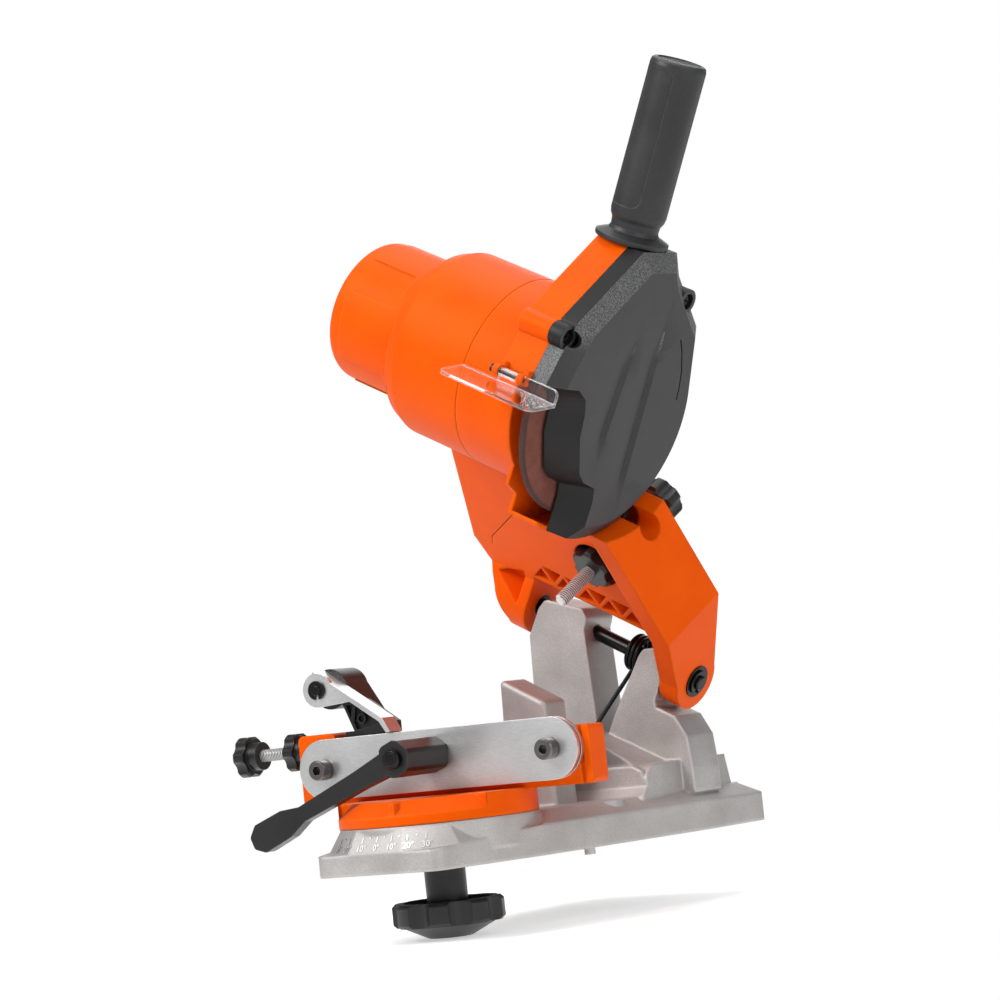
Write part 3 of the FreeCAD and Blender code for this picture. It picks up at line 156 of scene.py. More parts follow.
back = Vector((math.sin(AZIMUTH) * math.cos(RISE), -math.cos(AZIMUTH) * math.cos(RISE),
               math.sin(RISE)))
level = Vector((math.cos(AZIMUTH), math.sin(AZIMUTH), 0.0))
upright = back.cross(level)
across = level * math.cos(ROLL) - upright * math.sin(ROLL)
above = upright * math.cos(ROLL) + level * math.sin(ROLL)
camera_data = bpy.data.cameras.new("camera")
camera_data.sensor_width = 36.0
camera_data.lens = LENS
camera_data.clip_start = 0.05
camera_data.clip_end = 60.0
camera = bpy.data.objects.new("camera", camera_data)
camera.matrix_world = (Matrix.Translation(TARGET + back * DISTANCE)
                       @ Matrix((across, above, back)).transposed().to_4x4())
bpy.context.scene.collection.objects.link(camera)
bpy.context.scene.camera = camera
bpy.context.scene.view_settings.view_transform = "Standard"

# ------------------------------------------------------------------ base casting
# One gravity casting in aluminium, shot-blasted, with its seat and scale machined. Castings,
# mouldings and plates all have small rounded edges and a grain, which this group gives them,
# and an edge mask that finish uses to lighten their edges: partly wear, partly painted
# highlight.
FLOAT = "NodeSocketFloat"
VECTOR = "NodeSocketVector"
MIX_LOW, MIX_HIGH, MIX_RESULT = 6, 7, 2


def shader_group(name, inputs, outputs):
    """An empty node group: inputs are (name, value) and outputs (name, socket type)."""
    group = bpy.data.node_groups.new(name, "ShaderNodeTree")
    for title, value in inputs:
        kind = FLOAT if isinstance(value, float) else VECTOR
        socket = group.interface.new_socket(title, in_out="INPUT", socket_type=kind)
        socket.default_value = value
    for title, kind in outputs:
        group.interface.new_socket(title, in_out="OUTPUT", socket_type=kind)
    return group


surface = shader_group("grained_surface",
                       [("Edge radius", 0.0006), ("Grain size", 0.0006),
                        ("Grain depth", 0.00003), ("Patch size", 0.03),
                        ("Stretch", (1.0, 1.0, 1.0))],
                       [("Normal", VECTOR), ("Edge", FLOAT), ("Grain", FLOAT), ("Patch", FLOAT)])
given = add(surface, "NodeGroupInput").outputs
where = add(surface, "ShaderNodeTexCoord").outputs["Object"]
pulled = add(surface, "ShaderNodeVectorMath", {0: where, 1: given["Stretch"]},
             operation="MULTIPLY").outputs[0]
grain = add(surface, "ShaderNodeTexNoise",
            {"Vector": pulled, "Scale": maths(surface, "DIVIDE", 1.0, given["Grain size"]),
             "Detail": 2.0, "Roughness": 0.6}).outputs["Fac"]
patch = add(surface, "ShaderNodeTexNoise",
            {"Vector": where, "Scale": maths(surface, "DIVIDE", 1.0, given["Patch size"]),
             "Detail": 3.0, "Roughness": 0.55}).outputs["Fac"]
rounded = add(surface, "ShaderNodeBevel", {"Radius": given["Edge radius"]}, samples=4).outputs[0]
flat = add(surface, "ShaderNodeNewGeometry").outputs["Normal"]
agree = add(surface, "ShaderNodeVectorMath", {0: rounded, 1: flat}, operation="DOT_PRODUCT")
relief = add(surface, "ShaderNodeBump", {"Strength": 1.0, "Distance": given["Grain depth"],
                                         "Height": grain, "Normal": rounded})
add(surface, "NodeGroupOutput", {"Normal": relief.outputs[0], "Grain": grain, "Patch": patch,
                                 "Edge": ramp(surface, agree.outputs["Value"], 0.995, 0.80)})


def blend(tree, share, low, high, **settings):
    """The colour between low and high at a share."""
    return add(tree, "ShaderNodeMix", {0: share, MIX_LOW: low, MIX_HIGH: high}, data_type="RGBA",
               **settings).outputs[MIX_RESULT]


def finish(name, low, high, edge_wear_and_sheen, rough, metal=0.0, edge_radius=0.0006, grain_size=0.0006,
           grain_depth=0.00002, patch_size=0.03, stretch=(1.0, 1.0, 1.0), **shader_values):
    """Colour from low to high over patches and grain; edges lighter: wear and painted highlight.
    """
    made = bpy.data.materials.new(name)
    made.use_nodes = True
    tree = made.node_tree
    shader = tree.nodes["Principled BSDF"].inputs
    feel = add(tree, "ShaderNodeGroup", node_tree=surface, name="feel")
    for title, value in (("Edge radius", edge_radius), ("Grain size", grain_size),
                         ("Grain depth", grain_depth), ("Patch size", patch_size),
                         ("Stretch", stretch)):
        feel.inputs[title].default_value = value
    feel = feel.outputs
    both = maths(tree, "MULTIPLY", feel["Grain"], feel["Patch"])
    body = blend(tree, ramp(tree, both, 0.10, 0.42), (*low, 1.0), (*high, 1.0))
    # Edges take the edge colour: partly wear, partly a painted highlight.
    colour = blend(tree, feel["Edge"], body, (*edge_wear_and_sheen, 1.0), name="final")
    tree.links.new(colour, shader["Base Color"])
    tree.links.new(ramp(tree, feel["Patch"], 0.3, 0.7, *rough), shader["Roughness"])
    tree.links.new(feel["Normal"], shader["Normal"])
    shader["Metallic"].default_value = metal
    for title, value in shader_values.items():
        shader[title].default_value = value
    return made


def dress(material, *names):
    """Gives CAD nodes their material."""
    for name in names:
        mesh = nodes[name].data
        mesh.materials.clear()
        mesh.materials.append(material)


cast_aluminium = finish("cast_aluminium", (0.40, 0.382, 0.368), (0.62, 0.60, 0.585),
                        (0.70, 0.69, 0.68), (0.52, 0.62), metal=0.8, edge_radius=0.0030,
                        grain_size=0.0007, grain_depth=0.00016, patch_size=0.040)
dress(cast_aluminium, "base_casting", "run_capacitor")

# ------------------------------------------------------------------ angle scale
# Degree marks cast proud on the cone in front of the turntable: a line every ten degrees with
# its number below it, and a dot half way between. Their tops are wiped bright, and their sides
# are painted dark, a painted shade that makes them read as relief.
CONE_FOOT = 0.071
CONE_FOOT_HEIGHT = 0.013
CONE_IN, CONE_UP = 0.5055, 0.8629
FRONT_REACH = 0.068
FRONT_LEAN = 0.5714
SWIVEL = Vector((0.0, -0.169, 0.0))
MARK_THICK = 0.0007
DOT_RISE = 0.0108
DOT_FOOT, DOT_TOP = 0.0007, 0.0006
LINE_RISE = 0.0095
LINE_WIDE, LINE_TALL = 0.0008, 0.0038
NUMBER_PLACE = (0.0008, 0.0022, 0)
NUMBER_SIZE = 0.0058
NUMBER_BOLD = 0.00008


def sharpen(form, angle=35):
    """Smooth shading that stays crisp over edges sharper than the angle."""
    for face in form.faces:
        face.smooth = True
    for line in form.edges:
        line.smooth = (len(line.link_faces) == 2
                       and line.calc_face_angle(0.0) < math.radians(angle))


def piece(name, form, materials, body, place=Matrix.Identity(4), merge=0.000002):
    """Makes a bmesh an object that rides on a body, with its place in its mesh."""
    if merge:
        bmesh.ops.remove_doubles(form, verts=form.verts, dist=merge)
        bmesh.ops.recalc_face_normals(form, faces=form.faces)
    sharpen(form)
    bmesh.ops.transform(form, matrix=place, verts=form.verts)
    mesh = bpy.data.meshes.new(name)
    form.to_mesh(mesh)
    form.free()
    for material in materials:
        mesh.materials.append(material)
    made = bpy.data.objects.new(name, mesh)
    bpy.context.scene.collection.objects.link(made)
    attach(made, body)
    return made


def onto_cone(point, degrees):
    """Wraps a point of a flat sign round the cone and its cut front, centred on an angle."""
    turn = math.radians(degrees) + point.x / CONE_FOOT
    height = CONE_FOOT_HEIGHT + CONE_UP * point.y
    front = FRONT_REACH - FRONT_LEAN * (height - CONE_FOOT_HEIGHT)
    radius = min(CONE_FOOT - CONE_IN * point.y, front / math.cos(turn)) + point.z
    return SWIVEL + Vector((radius * math.sin(turn), -radius * math.cos(turn), height))


def add_number(form, number):
    """Adds a number with a degree sign, lying flat and closed, with its baseline near zero."""
    sign = bpy.data.curves.new("degree_number", "FONT")
    sign.body = str(number) + "°"
    sign.size = NUMBER_SIZE
    sign.extrude = MARK_THICK / 2
    sign.offset = NUMBER_BOLD
    sign.align_x = "CENTER"
    sign.resolution_u = 3
    holder = bpy.data.objects.new("degree_number", sign)
    bpy.context.scene.collection.objects.link(holder)
    letters = bpy.data.meshes.new_from_object(holder)
    letters.transform(Matrix.Translation(NUMBER_PLACE))
    form.from_mesh(letters)
    bpy.data.objects.remove(holder)
    bpy.data.meshes.remove(letters)
    bpy.data.curves.remove(sign)


scale = bmesh.new()
for degrees in range(-30, 35, 5):
    before = set(scale.verts)
    if degrees % 10:
        bmesh.ops.create_cone(scale, cap_ends=True, segments=8, radius1=DOT_FOOT,
                              radius2=DOT_TOP, depth=MARK_THICK,
                              matrix=Matrix.Translation((0, DOT_RISE, 0)))
    else:
        bmesh.ops.create_cube(scale, size=1.0, matrix=Matrix.Translation((0, LINE_RISE, 0))
                              @ Matrix.Diagonal((LINE_WIDE, LINE_TALL, MARK_THICK, 1)))
        add_number(scale, abs(degrees))
        bmesh.ops.remove_doubles(scale, verts=list(set(scale.verts) - before), dist=0.000001)
    fresh = set(scale.verts) - before
    scale.normal_update()
    # Faces standing up from the sign take the dark second material, a painted shade round each
    # mark.
    for face in {face for point in fresh for face in point.link_faces}:
        face.material_index = int(abs(face.normal.z) < 0.5)
    for point in fresh:
        point.co = onto_cone(point.co, degrees)
wiped_metal = finish("wiped_metal", (0.80, 0.79, 0.77), (0.92, 0.91, 0.90), (0.95, 0.95, 0.94),
                     (0.30, 0.42), metal=0.6, edge_radius=0.00005, grain_depth=0.00001)
mark_painted_shade = finish("mark_painted_shade", (0.06, 0.055, 0.05), (0.12, 0.11, 0.10), (0.14, 0.13, 0.12),
                    (0.60, 0.75), edge_radius=0.00005, grain_depth=0.00001)
scale_marks = piece("scale_marks", scale, [wiped_metal, mark_painted_shade], "base", merge=0)

# ------------------------------------------------------------------ turntable
# An orange glass-filled nylon moulding that turns on the seat and carries the vice. The two
# head housings are moulded in the same nylon, whose skin takes soft, faintly tinted light.
orange_plastic = finish("orange_plastic", (0.88, 0.086, 0.0), (0.95, 0.115, 0.002),
                        (1.0, 0.17, 0.010), (0.46, 0.54), edge_radius=0.0026,
                        grain_size=0.0005, grain_depth=0.000012,
                        **{"IOR": 1.33, "Specular Tint": (1.0, 0.42, 0.10, 1.0)})
dress(orange_plastic, "turntable", "front_housing", "rear_housing")

# ------------------------------------------------------------------ lock knob
# A black eight-lobed nylon knob below the base, moulded on a steel nut. The same satin black
# nylon is used for the other knobs and the small mouldings.
black_plastic = finish("black_plastic", (0.006, 0.006, 0.006), (0.013, 0.013, 0.014),
                       (0.040, 0.040, 0.042), (0.30, 0.42), edge_radius=0.0010,
                       grain_size=0.0007, grain_depth=0.00005)
dress(black_plastic, "lock_knob", "stop_screw_knob", "stop_jam_nut", "depth_knob",
      "depth_jam_nut", "switch_body", "cooling_fan", "cable_gland", "switch_rocker")

# ------------------------------------------------------------------ vice rails
# Two steel plates screwed to the turntable, with ground faces and bright zinc on them. The
# grinding marks run lengthways. Studs, flanges and the motor's steel are zinc plated or turned.
rail_steel = finish("rail_steel", (0.62, 0.62, 0.62), (0.86, 0.86, 0.855), (0.92, 0.92, 0.91),
                    (0.32, 0.42), metal=0.95, edge_radius=0.0006, grain_size=0.0003,
                    grain_depth=0.000012, patch_size=0.05, stretch=(0.02, 1.0, 1.0))
dress(rail_steel, "near_rail_plate", "far_rail_plate", "stop_link")

zinc_steel = finish("zinc_steel", (0.50, 0.50, 0.49), (0.74, 0.74, 0.73), (0.85, 0.85, 0.84),
                    (0.22, 0.34), metal=1.0, edge_radius=0.0004, grain_size=0.0004,
                    grain_depth=0.000006)
dress(zinc_steel, "turntable_stud", "lock_washer", "handle_stud", "inner_flange",
      "outer_flange", "wheel_nut", "motor_shaft", "motor_bearings")

nickel_steel = finish("nickel_steel", (0.12, 0.115, 0.11), (0.22, 0.21, 0.20),
                      (0.46, 0.45, 0.43), (0.26, 0.36), metal=1.0, edge_radius=0.0004,
                      grain_size=0.0004, grain_depth=0.000006)
dress(nickel_steel, "rail_screws")

# ------------------------------------------------------------------ clamp lever and stop carrier
# Zinc die castings with a fine black powder coat, which has a slight orange-peel skin. The
# lever draws the near plate in, and the carrier slides on the turntable's arm.
black_metal = finish("black_metal", (0.006, 0.006, 0.006), (0.014, 0.014, 0.014),
                     (0.045, 0.045, 0.045), (0.32, 0.44), edge_radius=0.0010,
                     grain_size=0.0009, grain_depth=0.00006)
dress(black_metal, "clamp_lever", "stop_carrier")

# ------------------------------------------------------------------ chain stop screw
# M8 zinc-plated studding that moves the chain stop. The thread is one ridge wound round the
# bar, cut flat at both ends and chamfered at the first. Its flanks and roots are painted dark,
# a painted shade.
VICE_PLACE = Matrix.Translation(SWIVEL) @ Matrix.Rotation(math.radians(4.5), 4, "Z")
STOP_RADIUS, STOP_PITCH, STOP_LENGTH = 0.004, 0.00125, 0.095
STOP_START = (-0.156, 0.0129, 0.078)
THREAD_DEPTH = 0.61
THREAD_STEPS = 20


def points_in(items):
    """The vertices among an operator's results."""
    return [item for item in items if isinstance(item, bmesh.types.BMVert)]


def lines_in(items):
    """The edges among an operator's results."""
    return [item for item in items if isinstance(item, bmesh.types.BMEdge)]


def everything(form):
    """All the vertices, edges and faces of a form."""
    return form.verts[:] + form.edges[:] + form.faces[:]


def studding(radius, pitch, length):
    """A threaded bar up from the origin along Z, first edge chamfered, painted shade in the
    thread.
    """
    root = radius - THREAD_DEPTH * pitch
    turns = math.ceil(length / pitch) + 2
    bar = bmesh.new()
    ridge = [(root, 0.0), (root, 0.14), (radius, 0.34), (radius, 0.80), (root, 1.0)]
    points = [bar.verts.new((r, 0, (z - 2) * pitch)) for r, z in ridge]
    lines = [bar.edges.new(pair) for pair in zip(points, points[1:])]
    bmesh.ops.spin(bar, geom=points + lines, cent=(0, 0, 0), axis=(0, 0, 1),
                   dvec=(0, 0, pitch / THREAD_STEPS), angle=math.tau * turns,
                   steps=THREAD_STEPS * turns)
    bmesh.ops.remove_doubles(bar, verts=bar.verts, dist=0.00001)
    for height, way in ((0.0, -1), (length, 1)):
        cut = bmesh.ops.bisect_plane(bar, geom=everything(bar), dist=0.0000001,
                                     plane_co=(0, 0, height), plane_no=(0, 0, way),
                                     clear_outer=True)["geom_cut"]
        bmesh.ops.holes_fill(bar, edges=lines_in(cut), sides=0)
    for point in bar.verts:
        limit = radius - pitch + point.co.z
        reach = point.co.xy.length
        if reach > limit:
            point.co.xy *= limit / reach
    # Threaded faces below the crest take the second material, a painted shade in the thread.
    for face in bar.faces:
        crest = all(point.co.xy.length > radius - 0.0001 for point in face.verts)
        threaded = pitch < face.calc_center_median().z < length - pitch
        face.material_index = int(threaded and not crest)
    return bar


thread_steel = finish("thread_steel", (0.72, 0.72, 0.71), (0.88, 0.88, 0.87),
                      (0.92, 0.92, 0.91), (0.30, 0.40), metal=0.3, edge_radius=0.00004,
                      grain_size=0.0005, grain_depth=0.000004)
thread_painted_shade = finish("thread_painted_shade", (0.12, 0.12, 0.12), (0.22, 0.22, 0.22), (0.24, 0.24, 0.24),
                     (0.45, 0.60), metal=0.3, edge_radius=0.00004, grain_size=0.0005,
                     grain_depth=0.000004)
stop_thread = piece("stop_screw_thread", studding(STOP_RADIUS, STOP_PITCH, STOP_LENGTH),
                    [thread_steel, thread_painted_shade], "stop_slide",
                    VICE_PLACE @ Matrix.Translation(STOP_START)
                    @ Matrix.Rotation(math.radians(90), 4, "Y"))
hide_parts("stop_screw_rod")

# ------------------------------------------------------------------ pivot
# A black oxide steel shaft in flanged bushes, held by circlips, with the return spring on it.
# The other small pins, clips and screws have the same oxide finish.
dark_steel = finish("dark_steel", (0.016, 0.016, 0.017), (0.035, 0.035, 0.036),
                    (0.10, 0.10, 0.10), (0.26, 0.36), metal=0.9, edge_radius=0.0003,
                    grain_size=0.0004, grain_depth=0.000005)
dress(dark_steel, "pivot_shaft", "shaft_circlips", "clamp_stud", "stop_pin", "return_spring",
      "clamp_cap", "stop_pin_clip", "shaft_bushes", "drum_screws", "shield_pin")

# ------------------------------------------------------------------ guard cover
# A black textured nylon cover over the wheel, screwed to the housing. Two long folds stiffen
# its flat front, with a thin groove beside them. The front is cut along their lines, and its
# points are then sunk.
HEAD_TILT = math.radians(28.0)
ARM_LEAN = math.radians(41.3)
PIVOT_PLACE = (Matrix.Translation((0, -0.169, 0.0862)) @ Matrix.Rotation(HEAD_TILT, 4, "Y")
               @ Matrix.Translation((0, 0.188, 0.0471)))
ARM_PLACE = PIVOT_PLACE @ Matrix.Rotation(ARM_LEAN, 4, "X")
WHEEL_PLACE = (ARM_PLACE @ Matrix.Translation((0, 0.0242, 0.2022))
               @ Matrix.Rotation(-ARM_LEAN, 4, "X"))
BEVEL_FACING, BEVEL_SPREAD = 0.78, 0.14
WALL_SPREAD = 0.62
SPARK_START, SPARK_END = 0.040, 0.052
PANEL_FRONT = -0.068
PANEL_MIDDLE, PANEL_HALF = 0.028, 0.0115
FLECK_DARK = (0.060, 0.060, 0.061, 1.0)
FLECK_LIGHT = (0.21, 0.21, 0.21, 1.0)
POLISHED = (0.010, 0.010, 0.011, 1.0)
FACE = 0.024
FOLDS = [((-0.0125, 0.0600), (-0.0170, -0.0300)), ((0.0125, 0.0800), (0.0215, -0.0680))]
FOLD_SLOPE = 0.016
FOLD_STEP = 0.0022
FOLD_DEPTH = 0.0023
ASIDE_CUTS = [-FOLD_SLOPE, -FOLD_SLOPE / 2, -FOLD_SLOPE / 5, 0.0, 0.3 * FOLD_STEP,
              0.65 * FOLD_STEP, FOLD_STEP]
ALONG_CUTS = [0.0, 0.08, 0.16, 0.25, 0.35, 0.5, 0.65, 0.8, 0.86, 0.93, 1.0]
FOLD_RISE, FOLD_FALL = 0.35, 0.2
SLIT = [(0.0351, 0.0537), (0.0409, 0.0455), (0.0476, 0.0323), (0.0505, 0.0216),
        (0.0514, 0.0135)]
SLIT_HALF = 0.0006
SLIT_DEPTH = 0.0018

wheel_frame = shader_group("wheel_frame", [], [("Place", VECTOR), ("Facing", VECTOR)])
where = add(wheel_frame, "ShaderNodeTexCoord").outputs
from_centre = add(wheel_frame, "ShaderNodeVectorMath",
                  {0: where["Object"], 1: WHEEL_PLACE.translation}, operation="SUBTRACT")
turned = []
for source in (from_centre.outputs[0], where["Normal"]):
    parts = [add(wheel_frame, "ShaderNodeVectorMath", {0: source, 1: WHEEL_PLACE.col[i].to_3d()},
                 operation="DOT_PRODUCT").outputs["Value"] for i in range(3)]
    turned.append(add(wheel_frame, "ShaderNodeCombineXYZ", dict(zip("XYZ", parts))).outputs[0])
add(wheel_frame, "NodeGroupOutput", {"Place": turned[0], "Facing": turned[1]})

guard_plastic = finish("guard_plastic", (0.030, 0.030, 0.031), (0.056, 0.056, 0.058),
                       (0.11, 0.11, 0.112), (0.46, 0.56), edge_radius=0.0010,
                       grain_size=0.0006, grain_depth=0.00003, **{"Specular IOR Level": 0.35})

# The bevel and a panel of the front wall have a coarse spark grain. The rest of the wall is
# polished black.
tree = guard_plastic.node_tree
seat = add(tree, "ShaderNodeGroup", node_tree=wheel_frame).outputs
place = add(tree, "ShaderNodeSeparateXYZ", {0: seat["Place"]}).outputs
facing = add(tree, "ShaderNodeSeparateXYZ", {0: seat["Facing"]}).outputs
on_bevel = maths(tree, "COMPARE", facing["X"], BEVEL_FACING, BEVEL_SPREAD)
spark = maths(tree, "MULTIPLY", on_bevel, ramp(tree, place["Z"], SPARK_START, SPARK_END))
on_wall = maths(tree, "COMPARE", facing["X"], 0.0, WALL_SPREAD)
forward = maths(tree, "LESS_THAN", place["Y"], PANEL_FRONT)
beside = maths(tree, "COMPARE", place["Z"], PANEL_MIDDLE, PANEL_HALF)
panel = maths(tree, "MULTIPLY", forward, beside)
rough_wall = maths(tree, "MULTIPLY", on_wall, panel)
plain_wall = maths(tree, "SUBTRACT", on_wall, panel, use_clamp=True)
speck = add(tree, "ShaderNodeTexNoise",
            {"Vector": add(tree, "ShaderNodeTexCoord").outputs["Object"], "Scale": 1500.0,
             "Detail": 1.0}).outputs["Fac"]
fleck = blend(tree, ramp(tree, speck, 0.42, 0.66), FLECK_DARK, FLECK_LIGHT)
colour = tree.nodes["final"].outputs[MIX_RESULT]
colour = blend(tree, spark, colour, fleck)
colour = blend(tree, rough_wall, colour, fleck)
colour = blend(tree, plain_wall, colour, POLISHED)
tree.links.new(colour, tree.nodes["Principled BSDF"].inputs["Base Color"])


def smooth_step(value):
    """An even curve from 0 to 1."""
    value = min(max(value, 0.0), 1.0)
    return value * value * (3 - 2 * value)


def sides(foot, tip):
    """The run from foot to tip, its direction, and the direction at right angles to it."""
    run = Vector(tip) - Vector(foot)
    line = run.normalized()
    return run, line, Vector((-line.y, line.x))


def face_front(form):
    """The faces of the cover's flat front."""
    return [face for face in form.faces
            if face.normal.x > 0.999 and abs(face.calc_center_median().x - FACE) < 0.0001]


def cut_face(form, spot, way):
    """Cuts the cover's flat front along a plane that stands on it."""
    front = face_front(form)
    lines = {line for face in front for line in face.edges}
    points = {point for face in front for point in face.verts}
    bmesh.ops.bisect_plane(form, geom=[*points, *lines, *front], dist=0.000001,
                           plane_co=(FACE, *spot), plane_no=(0, *way))


def fold_depth(point, foot, tip):
    """How far a fold sinks the face at a point: a long slope down, then a short step up."""
    run, line, across = sides(foot, tip)
    offset = point.co.yz - Vector(foot)
    along = offset.dot(line) / run.length
    aside = offset.dot(across)
    slope = min(max(1 + aside / FOLD_SLOPE, 0.0), 1.0) * smooth_step(1 - aside / FOLD_STEP)
    return slope * smooth_step(along / FOLD_RISE) * smooth_step((1 - along) / FOLD_FALL)


def slit_gap(spot):
    """Distance of a point of the face from the slit's middle line."""
    gaps = []
    for foot, tip in zip(SLIT, SLIT[1:]):
        foot, run = Vector(foot), Vector(tip) - Vector(foot)
        part = min(max((spot - foot).dot(run) / run.length_squared, 0.0), 1.0)
        gaps.append((spot - foot - run * part).length)
    return min(gaps)


cover = bmesh.new()
cover.from_mesh(nodes["guard_cover"].data)
bmesh.ops.remove_doubles(cover, verts=cover.verts, dist=0.000001)
bmesh.ops.transform(cover, matrix=WHEEL_PLACE.inverted(), verts=cover.verts)
cover.normal_update()
front = set(face_front(cover))
inside = [line for line in cover.edges if set(line.link_faces) <= front]
bmesh.ops.dissolve_limit(cover, angle_limit=0.01, verts=[], edges=inside)
for foot, tip in FOLDS:
    run, line, aside = sides(foot, tip)
    for reach in ASIDE_CUTS:
        cut_face(cover, Vector(foot) + aside * reach, aside)
    for share in ALONG_CUTS:
        cut_face(cover, Vector(foot) + run * share, line)
for foot, tip in zip(SLIT, SLIT[1:]):
    run, line, aside = sides(foot, tip)
    for reach in (-SLIT_HALF, SLIT_HALF):
        cut_face(cover, Vector(foot) + aside * reach, aside)
    cut_face(cover, foot, line)
cut_face(cover, SLIT[-1], line)
for point in cover.verts:
    if abs(point.co.x - FACE) < 0.00001:
        point.co.x -= FOLD_DEPTH * max(fold_depth(point, *ends) for ends in FOLDS)
cover.normal_update()
slit_faces = [face for face in cover.faces if face.normal.x > 0.9
              and face.calc_center_median().x > FACE - 0.0001
              and slit_gap(face.calc_center_median().yz) < SLIT_HALF]
bottom = points_in(bmesh.ops.extrude_face_region(cover, geom=slit_faces)["geom"])
bmesh.ops.delete(cover, geom=slit_faces, context="FACES")
bmesh.ops.translate(cover, verts=bottom, vec=(-SLIT_DEPTH, 0, 0))
for point in bottom:
    for face in point.link_faces:
        face.material_index = 1
slit_shadow = finish("slit_shadow", (0.003, 0.003, 0.003), (0.006, 0.006, 0.006),
                     (0.01, 0.01, 0.01), (0.7, 0.8), edge_radius=0.0001)
guard_shell = piece("guard_shell", cover, [guard_plastic, slit_shadow], "head", WHEEL_PLACE,
                    merge=0)
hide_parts("guard_cover")

# ------------------------------------------------------------------ guard screws
# Three black pan-head screws with cross recesses, driven into the housing down their wells.
# Each is drawn as a disc, whose rim is drawn down to its head, neck and shank.
SCREW_PLACES = [(0.009, -0.072, 0.047), (0.017, 0.033, 0.078), (0.005, 0.051, -0.0695)]
HEAD_RADIUS = 0.0044
HEAD_HEIGHT = 0.003
HEAD_ROUNDING = 0.0013
SHANK_SHARE = 0.57
SHANK_LENGTH = 0.018
CROSS_REACH = 0.0024
CROSS_HALF = 0.0005
CROSS_DEPTH = 0.0016
CLOSE = 0.00001


def draw_edges(form, lines):
    """Extrudes edges in place, and returns the new vertices and edges."""
    made = bmesh.ops.extrude_edge_only(form, edges=lines)["geom"]
    return points_in(made), lines_in(made)


def in_cross(face):
    """True for a face of the head's top that lies in the cross."""
    middle = face.calc_center_median()
    near, far = sorted(abs(c) for c in middle.xy)
    return middle.z > HEAD_HEIGHT - CLOSE and far < CROSS_REACH and near < CROSS_HALF


def cross_screw(turn):
    """A pan head over a shank, pointing along X, with its cross turned by an angle."""
    form = bmesh.new()
    bmesh.ops.create_circle(form, cap_ends=True, segments=28, radius=HEAD_RADIUS,
                            matrix=Matrix.Translation((0, 0, HEAD_HEIGHT)))
    for axis in (Vector((1, 0, 0)), Vector((0, 1, 0))):
        for reach in (-CROSS_REACH, -CROSS_HALF, CROSS_HALF, CROSS_REACH):
            bmesh.ops.bisect_plane(form, geom=everything(form), dist=0.0000001,
                                   plane_co=axis * reach, plane_no=axis)
    low, walls = draw_edges(form, [line for line in form.edges if len(line.link_faces) == 1])
    bmesh.ops.translate(form, verts=low, vec=(0, 0, -HEAD_HEIGHT))
    neck, skirt = draw_edges(form, [line for line in walls
                                    if all(abs(point.co.z) < CLOSE for point in line.verts)])
    bmesh.ops.scale(form, verts=neck, vec=(SHANK_SHARE, SHANK_SHARE, 1.0))
    ring = [line for line in skirt
            if all(point.co.xy.length < HEAD_RADIUS * 0.6 for point in line.verts)]
    foot, shank = draw_edges(form, ring)
    bmesh.ops.translate(form, verts=foot, vec=(0, 0, -SHANK_LENGTH))
    end = [line for line in shank
           if all(point.co.z < CLOSE - SHANK_LENGTH for point in line.verts)]
    bmesh.ops.holes_fill(form, edges=end, sides=0)
    cross = [face for face in form.faces if in_cross(face)]
    sunk = points_in(bmesh.ops.extrude_face_region(form, geom=cross)["geom"])
    bmesh.ops.delete(form, geom=cross, context="FACES")
    bmesh.ops.translate(form, verts=sunk, vec=(0, 0, -CROSS_DEPTH))
    shoulder = [line for line in form.edges
                if all(point.co.xy.length > HEAD_RADIUS - 0.0001
                       and point.co.z > HEAD_HEIGHT - CLOSE for point in line.verts)]
    bmesh.ops.bevel(form, geom=shoulder, offset=HEAD_ROUNDING, segments=3, affect="EDGES",
                    profile=0.5, material=-1)
    for angle, axis in ((turn, "Z"), (math.radians(90), "Y")):
        bmesh.ops.rotate(form, cent=(0, 0, 0), matrix=Matrix.Rotation(angle, 3, axis),
                         verts=form.verts)
    return form


screws = bmesh.new()
for number, spot in enumerate(SCREW_PLACES):
    single = cross_screw(0.4 + number)
    bmesh.ops.translate(single, vec=spot, verts=single.verts)
    loose = bpy.data.meshes.new("loose")
    single.to_mesh(loose)
    single.free()
    screws.from_mesh(loose)
    bpy.data.meshes.remove(loose)
black_screw = finish("black_screw", (0.010, 0.010, 0.010), (0.022, 0.022, 0.022),
                     (0.09, 0.09, 0.09), (0.22, 0.32), metal=0.4, edge_radius=0.0002,
                     grain_size=0.0004, grain_depth=0.000006)
guard_screws = piece("guard_cross_screws", screws, [black_screw], "head", WHEEL_PLACE)
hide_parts("guard_screws")

# ------------------------------------------------------------------ grinding wheel
# A resin-bonded aluminium oxide wheel, brick red, with a darker band round its rim. It is
# clamped on the motor shaft between two flanges.
RIM_START, RIM_END = 0.0695, 0.0712
RIM = (0.070, 0.032, 0.025, 1.0)
abrasive = finish("abrasive", (0.120, 0.036, 0.024), (0.250, 0.078, 0.052),
                  (0.24, 0.085, 0.06), (0.80, 0.92), edge_radius=0.0003, grain_size=0.0007,
                  grain_depth=0.0003, patch_size=0.010)
tree = abrasive.node_tree
seat = add(tree, "ShaderNodeGroup", node_tree=wheel_frame).outputs
level_part = add(tree, "ShaderNodeVectorMath", {0: seat["Place"], 1: (0.0, 1.0, 1.0)},
                 operation="MULTIPLY").outputs[0]
radius = add(tree, "ShaderNodeVectorMath", {0: level_part}, operation="LENGTH").outputs["Value"]
colour = blend(tree, ramp(tree, radius, RIM_START, RIM_END),
               tree.nodes["final"].outputs[MIX_RESULT], RIM)
tree.links.new(colour, tree.nodes["Principled BSDF"].inputs["Base Color"])
dress(abrasive, "grinding_wheel")

